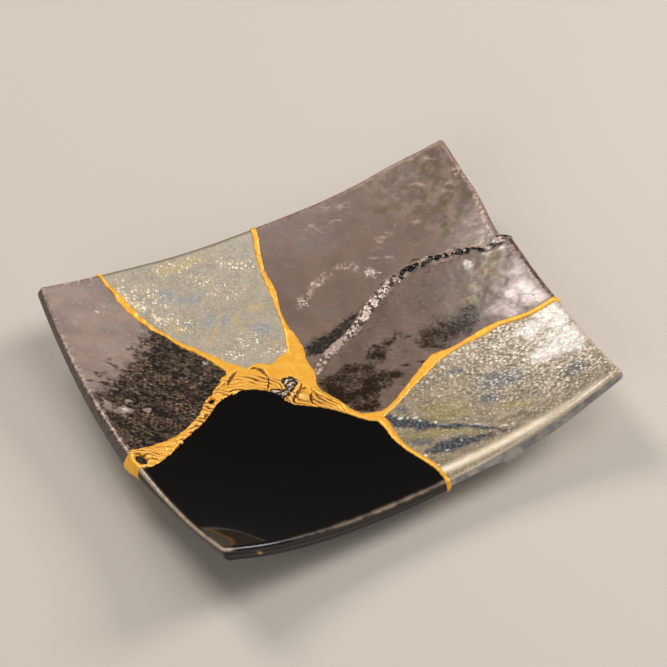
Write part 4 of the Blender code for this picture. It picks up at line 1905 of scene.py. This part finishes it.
@dataclass
class CeladonRightShard(Shard):
    """The grainy olive and cream shard with the front right corner and a run of glaze.

    Attributes:
        drip_x: Place of the hanging drip along X.
        drip_width: Its width.
        drip_length: How far it hangs down.
    """

    finish: type[Finish] = OliveGlaze
    # Painted highlight: the white sheen of the light on the upswept right corner.
    sheen: Area = Area(
        2.2,
        91,
        ((86, -27, 15, 24, 0), (84, -40, 20, 24), (76, -40, 20, 15), (77, -26, 18, 10)),
    )
    blue: Area = Area(
        1,
        95,
        shapes=(
            Ribbon(
                (
                    (6.8, -29.5, 4), (8.7, -34, 7), (12.8, -38.6, 7.5), (17.1, -42.9, 6.2),
                    (21.6, -46.6, 5), (28.1, -51.2, 4.4), (33, -55, 4.2), (36.6, -59.5, 4),
                    (40, -64.5, 3.4),
                ),
            ),
            Ribbon(
                (
                    (10.5, -57, 5), (17, -58.5, 8.5), (23, -60.3, 7.5), (29, -62, 5.5),
                    (35, -63.6, 3.4),
                ),
            ),
        ),
    )
    slate: Area = Area(
        2.4,
        99,
        (
            (53.5, -40, 26, 14), (14, -31, 10, 5), (20, -59.5, 24, 11), (12, -50, 10, 9),
            (46, -46, 14, 6), (42, -24, 8, 5), (78, -56, 12, 10),
        ),
    )
    olive: Area = Area(
        2.2,
        103,
        ((28, -40, 26, 16), (50, -56, 22, 6)),
        (
            Ribbon(((7.5, -44, 4), (16.4, -48.4, 6), (23.5, -52.6, 5.5), (30.5, -57.5, 3))),
        ),
    )
    # Painted glints on the blue runs.
    glint: Area = Area(
        0.5,
        107,
        (
            (10.9, -34, 3.4, 1.5), (15.8, -37.3, 2.6, 1.5), (21.5, -44, 2, 1.2),
            (41.2, -62.4, 4.4, 1.4), (44.3, -64.6, 3, 1.1), (24, -59, 2, 1), (17, -60.5, 2, 1),
            (8.7, -58, 2.4, 1.2), (9, -66.5, 2.4, 1.4),
        ),
    )
    drip_x: float = 36.5
    drip_width: float = 4.6
    drip_length: float = 2.6

    def drip(self, places: Places) -> Array:
        """Return the share of the hanging drip, on the lower part of the front side."""
        run = bell(places.x, self.drip_x, self.drip_width)
        return run * ease(-69.0, -73.0, places.y) * ease(0.15, 0.85, places.depth)

    def sag(self, places: Places) -> Array:
        """Return how far the drip hangs down."""
        return self.drip_length * self.drip(places)

    def relief(self, places: Places) -> Array:
        """Raise the glaze.

        Args:
            places: Where the vertices lie.

        Returns:
            The swells with a lively grain, a channel under the longest blue run, the
            drip and a lip along the front.
        """
        grainy = places.rough(1.6, 1.05, 0.7, 88)
        calm = self.blue.cover(places.x, places.y)
        front = ease(4.0, 11.0, places.y + 76.0)
        grainy = grainy * (1.0 - calm) * front * places.up
        channel = self.blue.shapes[0].cover(places.x, places.y)
        lip = 0.35 * bell(places.y, -69.5, 2.6) * places.up
        drip = 0.9 * self.drip(places) * places.out
        return super().relief(places) + 0.15 * grainy - 0.25 * channel + drip + lip

    def marks(self, places: Places) -> dict[str, Array]:
        """Number every vertex for the finish.

        Args:
            places: Where the vertices lie.

        Returns:
            The numbers of the areas, the glow towards the right, which is a painted highlight
            growing where the light falls, the cream band along the front and the brown tip.
        """
        band = bell(places.y + 71.2 + 0.02 * (places.x - 50.0), 0.0, 2.1)
        band *= 0.45 * ease(58.0, 50.0, places.x) + 0.55 * ease(88.0, 76.0, places.x)
        return {
            **super().marks(places),
            # Painted highlight: brighter towards the right, where the light falls.
            "glow": ease(15.0, 85.0, places.x + 0.6 * (places.y + 40.0)),
            "cream": band * np.clip(places.up, 0.0, 1.0),
            "tip": Spot(88.0, -73.0, 9.0, 6.0, 0.0).cover(places.x, places.y),
        }


@dataclass
class BlackShard(Shard):
    """The mirror-black shard with the front left corner.

    Attributes:
        groove_depth: Depth of the groove under the lip.
        lip_reach: Share of the wall's depth down to which the lip reaches.
    """

    finish: type[Finish] = BlackGlaze
    groove_depth: float = 0.3
    lip_reach: float = 0.3

    def relief(self, places: Places) -> Array:
        """Return a nearly flat face and, under the lip, one shallow groove."""
        groove = bell(places.depth, 0.42, 0.07) * (1.0 - np.clip(places.up, 0.0, 1.0))
        return super().relief(places) - self.groove_depth * groove

    def marks(self, places: Places) -> dict[str, Array]:
        """Number every vertex for the finish.

        Args:
            places: Where the vertices lie.

        Returns:
            The painted highlight along the left rim, and the painted lip highlight, line and fleck
            at the front.
        """
        left = ease(-83.0, -88.0, places.x - 0.03 * (places.y + 40.0))
        beads = 0.35 + 0.65 * ease(-0.5, 0.5, places.grain(2.1, 141))
        front = ease(-72.5, -76.0, places.y)
        arris = places.depth < self.lip_reach
        lip = bell(places.depth, 0.1, 0.1) * np.clip(places.out * 2.0, 0.0, 1.0)
        line = bell(places.depth, 0.56, 0.05) * places.out
        return {
            # Painted highlights of the left and front lips.
            "tan": bell(places.rim, 0.2, 0.75) * arris * left,
            "lip": lip * front * ease(-74.0, -20.0, places.x) * beads,
            "line": line * front,
            "lip_edge": ease(2.2, 0.4, places.rim) * arris * front,
            "fleck": bell(places.x, -75.5, 0.9) * line * front,
        }


@dataclass
class Seam(Piece):
    """A seam that fills the fracture lines and stands proud of the shards.

    Attributes:
        inside: Function of plan x and y that is positive inside the seam.
        proud: Height of the crown over the slab.
        shoulder: Distance from the edge over which the crown rises.
        edge_height: Height of the seam's edge over the slab.
        margin: Width of the grid that is kept round the seam before it is cut out.
    """

    inside: Callable = gold_inside
    proud: float = 0.5
    shoulder: float = 1.3
    edge_height: float = 0.06
    margin: float = 1.2
    foot_height: float = 0.3

    def crown(self, flat: Array) -> Array:
        """Shape the rounded crown.

        Args:
            flat: The flat vertices.

        Returns:
            The height of the crown at each of them.
        """
        share = np.clip(self.inside(*plan_of(flat)) / self.shoulder, 0.0, 1.0)
        round_share = np.sqrt(1.0 - (1.0 - share) ** 2)
        return self.edge_height + (self.proud - self.edge_height) * round_share

    def build(self) -> None:
        """Cut the seam out of a finer grid, thicken, bend and dress it."""
        piece = add_grid(self.name)
        near = self.inside(*plan_of(vertices_of(piece))) > -self.margin
        drop_faces(piece, ~near[corners_of(piece, 4)].any(axis=1))
        edit_all(piece, Element.FACE)
        bpy.ops.mesh.subdivide(number_cuts=1)
        close_edit()
        Cutter(self.inside, CELL / 2.0).cut(piece)
        thicken(piece, SEAM_SIDE_ROWS)
        self.shape(piece, self.crown(vertices_of(piece)))
        self.dress(piece)


@dataclass
class GoldSeam(Seam):
    """The gold seam: smooth in most places, wrinkled like skin beside the black shard.

    Attributes:
        shore: The edge of the black shard, which the folds run along.
        fold_width: Distance from one fold to the next.
        fold_depth: Their depth.
    """

    finish: type[Finish] = SeamGold
    shore: Points = (
        (-96, -20), (-88, -17), (-78, -12.5), (-69, -6.5), (-59, -1.5), (-50.5, 5), (-41.5, 8.2),
        (-37.7, 9), (-31.5, 7), (-26.5, 3.2), (-24.4, -2), (-21.7, -7), (-16.3, -10.4),
        (-10.8, -15.2), (-6.3, -20.3),
    )
    crease: Area = Area(
        0.3,
        131,
        ((-14.2, -0.8, 3.2, 2, 0),),
        (
            Ribbon(
                (
                    (-33.4, 19.2, 0.9), (-36.4, 17.9, 2.4), (-39.4, 15.6, 2.6), (-41.2, 13.2, 1.2),
                ),
            ),
            Ribbon(((-29.2, 17.6, 0.9), (-26.6, 17.4, 1.8), (-24.8, 14.9, 2.3), (-24.4, 11, 1.4))),
            Ribbon(((-24.4, 11, 1), (-25.6, 7.6, 1), (-27.6, 5.2, 0.9))),
            Ribbon(((-15.6, 3.4, 0.9), (-18.8, 0.9, 1.3), (-21.4, -1.4, 1.2), (-23.6, -3.2, 0.9))),
            Ribbon(((-14, 1.6, 0.8), (-15.6, -0.6, 1.3), (-18.9, -2.6, 1.2), (-22, -5.6, 0.9))),
            Ribbon(((-12.6, -4.2, 0.8), (-14.4, -6.2, 1.3), (-15.2, -9.8, 0.9))),
            Ribbon(((-11.8, -5.6, 0.8), (-11.4, -8.6, 1.2), (-9.4, -12, 0.8))),
        ),
    )
    strand: Area = Area(
        0.4,
        133,
        ((-16.6, -5.2, 8, 6, -70),),
        (
            Ribbon(((-23.4, -3.9, 2.4), (-20.4, -2.4, 3.2), (-17.2, 0.2, 3.2), (-14.4, 2.6, 2.2))),
            Ribbon(((-13, -5.2, 2), (-13.2, -8.6, 2.6), (-11, -11.6, 2))),
            Ribbon(((-11.6, -3.2, 2), (-9.8, -7.6, 2.4), (-8, -11.6, 1.8))),
        ),
    )
    bare: Area = Area(
        0.4,
        117,
        shapes=(
            Patch(
                (
                    (-27.2, 4.4), (-24.4, 3.9), (-22.3, 2), (-20.4, 1.4), (-20.8, -0.8),
                    (-23.8, -2), (-26.2, 0.2),
                ),
                0.8,
            ),
            Patch(
                (
                    (-21.3, 6), (-18.6, 7.4), (-16, 6.7), (-14.9, 4.2), (-16, 1.6), (-19.2, -0.2),
                    (-20.8, 1), (-20.6, 3),
                ),
                0.8,
            ),
        ),
    )
    # Painted highlight: strands of the bare lacquer painted pale, as the light they reflect; they
    # are raised in the relief too.
    lacquer_highlight: Area = Area(
        0.5,
        135,
        shapes=(
            Ribbon(((-26.6, 3.8, 0.9), (-25.1, 2.7, 1.5), (-23.4, 2, 1.1))),
            Ribbon(((-25.2, 0.9, 0.9), (-22.6, 0.2, 1.6), (-20.5, 0.9, 1))),
            Ribbon(((-20.8, 4.7, 0.8), (-18.3, 5.9, 1.3), (-16.3, 5.4, 0.9))),
            Ribbon(((-20.5, 2.7, 0.9), (-18, 3.9, 1.6), (-16, 3.5, 0.9))),
            Ribbon(((-20, 0.9, 0.7), (-18.1, 2.1, 1.2), (-16.8, 2, 0.8))),
        ),
    )
    hole: Area = Area(
        0,
        0,
        ((-92.2, -13.4, 6, 8.4, 0), (-50.9, 8.4, 4.4, 2.8, 20)),
    )
    fold_width: float = 1.9
    fold_depth: float = 0.5

    def folds(self, x: Array, y: Array) -> tuple[Array, Array]:
        """Measure the wrinkles of the skin.

        Args:
            x: Plan places along X.
            y: Plan places along Y.

        Returns:
            The height share of the wrinkles, 1 on a ridge and 0 in a valley, and how
            strong they are, from 0 to 1.
        """
        gap, station = nearest_on(smooth_path(self.shore), x, y)
        wander = 1.3 * grain(x, y, 5.2, 111) + 0.5 * grain(x, y, 2.1, 112)
        fan = (0.95 * gap + 0.4 * station + wander) / self.fold_width
        rope = (0.6 * station + 0.8 * gap + 1.5 * wander) / (1.2 * self.fold_width)
        left = ease(-38.0, -48.0, x)
        fan_ridge = np.abs(np.sin(math.pi * fan)) ** 0.7
        rope_ridge = np.abs(np.sin(math.pi * rope)) ** 0.7
        ridge = fan_ridge * (1.0 - left) + rope_ridge * left
        reach = 8.6 - 2.6 * ease(-22.0, -12.0, x) + 3.0 * left
        zone = ease(reach, reach - 2.2, gap) * ease(-3.0, -8.0, x)
        patchy = ease(-0.75, 0.35, grain(x, y, 4.2, 113) + 0.4 * grain(x, y, 1.7, 118))
        return ridge, zone * (0.5 + 0.5 * patchy)

    def relief(self, places: Places) -> Array:
        """Raise the gold.

        Args:
            places: Where the vertices lie.

        Returns:
            The wrinkles, creases, strands, pits and the unevenness of the smooth gold.
        """
        x, y = places.x, places.y
        ridge, strength = self.folds(x, y)
        thin = np.maximum(ease(14.0, 24.0, y), ease(-40.0, -48.0, x))
        lumps = places.grain(1.6, 116) + places.grain(3.3, 120)
        lumps = (0.13 + 0.09 * ease(-42.0, -50.0, x)) * lumps * thin
        lift = self.fold_depth * (1.6 * ridge - 1.2) * strength * (1.0 - places.out)
        uneven = 0.045 * places.rough(2.4, 1.1, 0.5, 114) + lumps
        uneven = uneven - 0.6 * self.crease.cover(x, y) - 0.3 * self.bare.cover(x, y)
        lift += uneven - 2.6 * self.hole.cover(x, y)
        lift += 0.6 * self.strand.cover(x, y)
        lift += 0.4 * self.lacquer_highlight.cover(x, y)
        return lift * ease(0.0, 0.12, places.crown)

    def marks(self, places: Places) -> dict[str, Array]:
        """Number every vertex for the finish.

        Args:
            places: Where the vertices lie.

        Returns:
            The numbers of the areas, and the painted shade of the valleys and the painted
            highlights of the ridges of the wrinkles.
        """
        ridge, strength = self.folds(places.x, places.y)
        strength = strength * (1.0 - places.out)
        # Painted shade in the valleys and painted highlight on the ridges.
        wrinkles = {"valley": ease(0.95, 0.3, ridge), "gleam": ease(0.82, 1.0, ridge)}
        wrinkles = {name: share * strength for name, share in wrinkles.items()}
        return {**super().marks(places), **wrinkles}


@dataclass
class LacquerSeam(Seam):
    """The black lacquer seam: a chain of glossy beads with painted highlights on top in places.

    Attributes:
        first_bead: Distance of the first bead along the seam.
        bead_spacing: Distance from one bead to the next.
        bead_radius: Usual radius of a bead.
        bead_side: Distance of a bead's middle from the seam's.
        bead_lean: Largest turn of a bead from the seam's direction, in degrees.
        oval_start: Places along X between which the beads turn into large ovals.
    """

    finish: type[Finish] = SeamLacquer
    first_bead: float = 4.0
    bead_spacing: float = 1.5
    bead_radius: float = 1.3
    bead_side: float = 1.1
    bead_lean: float = 30.0
    oval_start: tuple[float, float] = (46.0, 50.0)
    # Painted highlight: zones where the tops of the beads are painted pale, as the light they
    # reflect.
    lacquer_highlight: Area = Area(
        0.8,
        125,
        ((84.5, 21.5, 6, 4), (90, 21.5, 5, 4)),
        (
            Ribbon(((12, 14, 5), (22, 19, 6), (33, 25.2, 7), (44, 30.2, 5))),
            Ribbon(((-8, 3, 5), (-3, 6, 6), (5, 11.5, 6), (12, 14.4, 5))),
        ),
    )

    def beads(self, x: Array, y: Array) -> Array:
        """Shape the beads: two uneven rows, then one of large ovals.

        Args:
            x: Plan places along X.
            y: Plan places along Y.

        Returns:
            The height share of the beads, 1 on top and 0 between them.
        """
        path = smooth_path(LACQUER_RIBBON, step=0.5)
        x = x + 0.55 * grain(x, y, 1.9, 127)
        y = y + 0.55 * grain(x, y, 1.9, 128)
        steps = np.hypot(path[1:, 0] - path[:-1, 0], path[1:, 1] - path[:-1, 1])
        runs = np.concatenate(([0.0], np.cumsum(steps)))
        dome = np.zeros(x.shape)
        station = self.first_bead
        number = 0
        while station < runs[-1]:
            draws = lattice(np.full(4, number), np.arange(4), 121)
            middle = station + 0.6 * draws[0]
            centre_x = np.interp(middle, runs, path[:, 0])
            centre_y = np.interp(middle, runs, path[:, 1])
            ahead_x = np.interp(middle + 0.5, runs, path[:, 0]) - centre_x
            ahead_y = np.interp(middle + 0.5, runs, path[:, 1]) - centre_y
            turn = math.degrees(math.atan2(ahead_y, ahead_x)) + self.bead_lean * draws[1]
            oval = ease(*self.oval_start, centre_x)
            side = self.bead_side * (1.0 - 0.7 * oval) * (1 if number % 2 else -1)
            along, across = turned(x - centre_x, y - centre_y, turn)
            across = across - side - 0.4 * draws[2]
            size = (self.bead_radius + 0.45 * draws[3]) * (1.0 + 0.35 * oval)
            gap = np.hypot(along / (1.1 + 0.35 * oval), across)
            dome = np.maximum(dome, np.sqrt(np.maximum(0.0, 1.0 - (gap / size) ** 2)))
            station += self.bead_spacing * (1.0 + 1.1 * oval)
            number += 1
        return dome

    def relief(self, places: Places) -> Array:
        """Return the beads with valleys between them."""
        lift = 0.6 * self.beads(places.x, places.y) - 0.45 + 0.1 * places.grain(1.0, 123)
        return lift * ease(0.0, 0.2, places.crown)

    def marks(self, places: Places) -> dict[str, Array]:
        """Return the numbers of the areas, the beads' tops and where they are pinkish."""
        beads = self.beads(places.x, places.y)
        return {**super().marks(places), "bead": beads, "pink": ease(16.0, 10.0, places.x)}


@dataclass(frozen=True)
class Softbox:
    """A square studio light that faces the plate.

    Attributes:
        direction: From the plate towards the light.
        distance: Distance from the plate in metres.
        size: Width of the light in metres.
        power: Power in watts.
        colour: Colour of the light.
    """

    name: str
    direction: tuple[float, float, float]
    distance: float
    size: float
    power: float
    colour: Colour = (1.0, 0.96, 0.92)

    def place(self) -> None:
        """Put the light in the scene."""
        light = bpy.data.lights.new(self.name, "AREA")
        light.shape = "SQUARE"
        light.size = self.size
        light.energy = self.power
        light.color = self.colour
        lamp = bpy.data.objects.new(self.name, light)
        bpy.context.collection.objects.link(lamp)
        towards = Vector(self.direction).normalized()
        lamp.location = towards * self.distance
        lamp.rotation_euler = towards.to_track_quat("Z", "Y").to_euler()


@dataclass(frozen=True)
class Studio:
    """The floor, the lights and the camera.

    Attributes:
        azimuth: Direction of the camera round the plate, in degrees.
        elevation: Its height, in degrees.
        distance: Its distance in metres.
        target_height: Height of the point that it looks at, in metres.
        focal_pixels: Its focal length in pixels of the photograph.
        principal: The pixel where the camera's axis meets the picture.
        picture: Width and height of the photograph in pixels.
    """

    azimuth: float = -29.0
    elevation: float = 48.25
    distance: float = 1.2
    target_height: float = 0.017
    focal_pixels: float = 3010.0
    principal: tuple[float, float] = (334.2, 359.6)
    picture: float = 667.0
    sensor: float = 36.0
    floor_size: float = 6.0
    world_colour: Colour = (1.0, 0.97, 0.93)
    world_strength: float = 0.1
    lights: tuple[Softbox, ...] = (
        Softbox("sheen_light", (-0.16, 0.62, 0.77), 1.5, 0.55, 10.0, (1.0, 0.93, 0.86)),
        Softbox("overhead_light", (0.25, -0.25, 0.94), 1.9, 1.2, 11.0),
        Softbox("front_light", (-0.75, -0.55, 0.5), 1.8, 1.1, 9.0),
        Softbox("lip_light", (0.78, -0.13, 0.59), 1.2, 0.4, 7.0),
    )

    def add_floor(self) -> None:
        """Add the plain pale floor."""
        deselect()
        bpy.ops.mesh.primitive_plane_add(size=self.floor_size)
        floor = bpy.context.object
        floor.name = "floor"
        floor.data.materials.append(FloorPaint().material)

    def add_world(self) -> None:
        """Add the even, dim light of the room."""
        world = bpy.data.worlds.new("room")
        world.use_nodes = True
        background = world.node_tree.nodes["Background"]
        background.inputs["Color"].default_value = (*self.world_colour, 1.0)
        background.inputs["Strength"].default_value = self.world_strength
        bpy.context.scene.world = world

    def add_camera(self) -> None:
        """Add the camera at the photograph's viewing angle and framing."""
        turn = math.radians(self.azimuth)
        tilt = math.radians(self.elevation)
        level = math.cos(tilt)
        back = Vector((math.sin(turn) * level, -math.cos(turn) * level, math.sin(tilt)))
        right = Vector((math.cos(turn), math.sin(turn), 0.0))
        target = Vector((-PLAN_CENTRE[0] * MM, -PLAN_CENTRE[1] * MM, self.target_height))
        lens = bpy.data.cameras.new("camera")
        lens.sensor_width = self.sensor
        lens.lens = self.focal_pixels * self.sensor / self.picture
        lens.clip_start = 0.05
        lens.shift_x = (self.picture / 2.0 - self.principal[0]) / self.picture
        lens.shift_y = (self.principal[1] - self.picture / 2.0) / self.picture
        camera = bpy.data.objects.new("camera", lens)
        bpy.context.collection.objects.link(camera)
        pose = Matrix((right, back.cross(right), back)).transposed().to_4x4()
        pose.translation = target + back * self.distance
        camera.matrix_world = pose
        bpy.context.scene.camera = camera

    def build(self) -> None:
        """Set up the whole studio."""
        self.add_floor()
        self.add_world()
        for light in self.lights:
            light.place()
        self.add_camera()
        bpy.context.scene.view_settings.view_transform = "Standard"


@dataclass
class Plate:
    """The kintsugi plate: its six shards and two seams.

    Attributes:
        underlap: How far the shards reach under the edges of the seams.
    """

    underlap: float = 0.12
    shards: tuple[Shard, ...] = (
        UmberShard("umber_left", "shard_umber_left", "umber_glaze", anchor=(-70.0, 25.0), seed=1),
        CeladonMiddleShard(
            "celadon_middle", "shard_celadon_middle", "celadon_glaze", anchor=(-30.0, 50.0), seed=2
        ),
        MauveCornerShard(
            "mauve_corner", "shard_mauve_corner", "mauve_glaze", anchor=(50.0, 55.0), seed=3
        ),
        MauveSideShard("mauve_side", "shard_mauve_side", "mauve_glaze", anchor=(40.0, 8.0), seed=4),
        CeladonRightShard(
            "celadon_right", "shard_celadon_right", "olive_glaze", anchor=(45.0, -45.0), seed=5
        ),
        BlackShard(
            "black", "shard_black", "black_glaze", anchor=(-40.0, -40.0), swell=0.02, seed=6
        ),
    )
    seams: tuple[Seam, ...] = (
        GoldSeam("gold", "gold_seam", "gold"),
        LacquerSeam("lacquer", "lacquer_seam", "lacquer", inside=lacquer_inside, shoulder=1.0),
    )

    def outside_seams(self, x: Array, y: Array) -> Array:
        """Return how far each place lies outside the seams, but a little under their edges."""
        return self.underlap - seam_inside(x, y)

    def split(self) -> list[bpy.types.Object]:
        """Cut the flat grid along the seams.

        Returns:
            Its loose parts, each an object of its own.
        """
        whole = add_grid("slab")
        Cutter(self.outside_seams, CELL).cut(whole)
        edit_all(whole, Element.VERTEX)
        bpy.ops.mesh.separate(type="LOOSE")
        close_edit()
        return list(bpy.context.selected_objects)

    def pick(self, parts: list[bpy.types.Object], shard: Shard) -> bpy.types.Object:
        """Find the loose part that is a shard.

        Args:
            parts: The loose parts.
            shard: The shard.

        Returns:
            The large part whose middle is nearest to the shard's anchor.
        """

        def gap(part: bpy.types.Object) -> float:
            """Measure a part's distance from the anchor.

            Args:
                part: The loose part.

            Returns:
                The distance of the middle of a large part, and far away for a crumb.
            """
            flat = vertices_of(part)
            if len(flat) < LEAST_SHARD_VERTICES:
                return FAR_AWAY
            x, y = plan_of(flat)
            return math.dist((x.mean(), y.mean()), shard.anchor)

        return min(parts, key=gap)

    def build(self) -> None:
        """Build every shard and seam."""
        parts = self.split()
        for shard in self.shards:
            part = self.pick(parts, shard)
            parts.remove(part)
            shard.build(part)
        for crumb in parts:
            bpy.data.objects.remove(crumb)
        for seam in self.seams:
            seam.build()


def main() -> None:
    """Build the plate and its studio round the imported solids."""
    logging.basicConfig(level=logging.INFO, format="%(name)s: %(message)s")
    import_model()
    Plate().build()
    Studio().build()


if __name__ == "__main__":
    main()
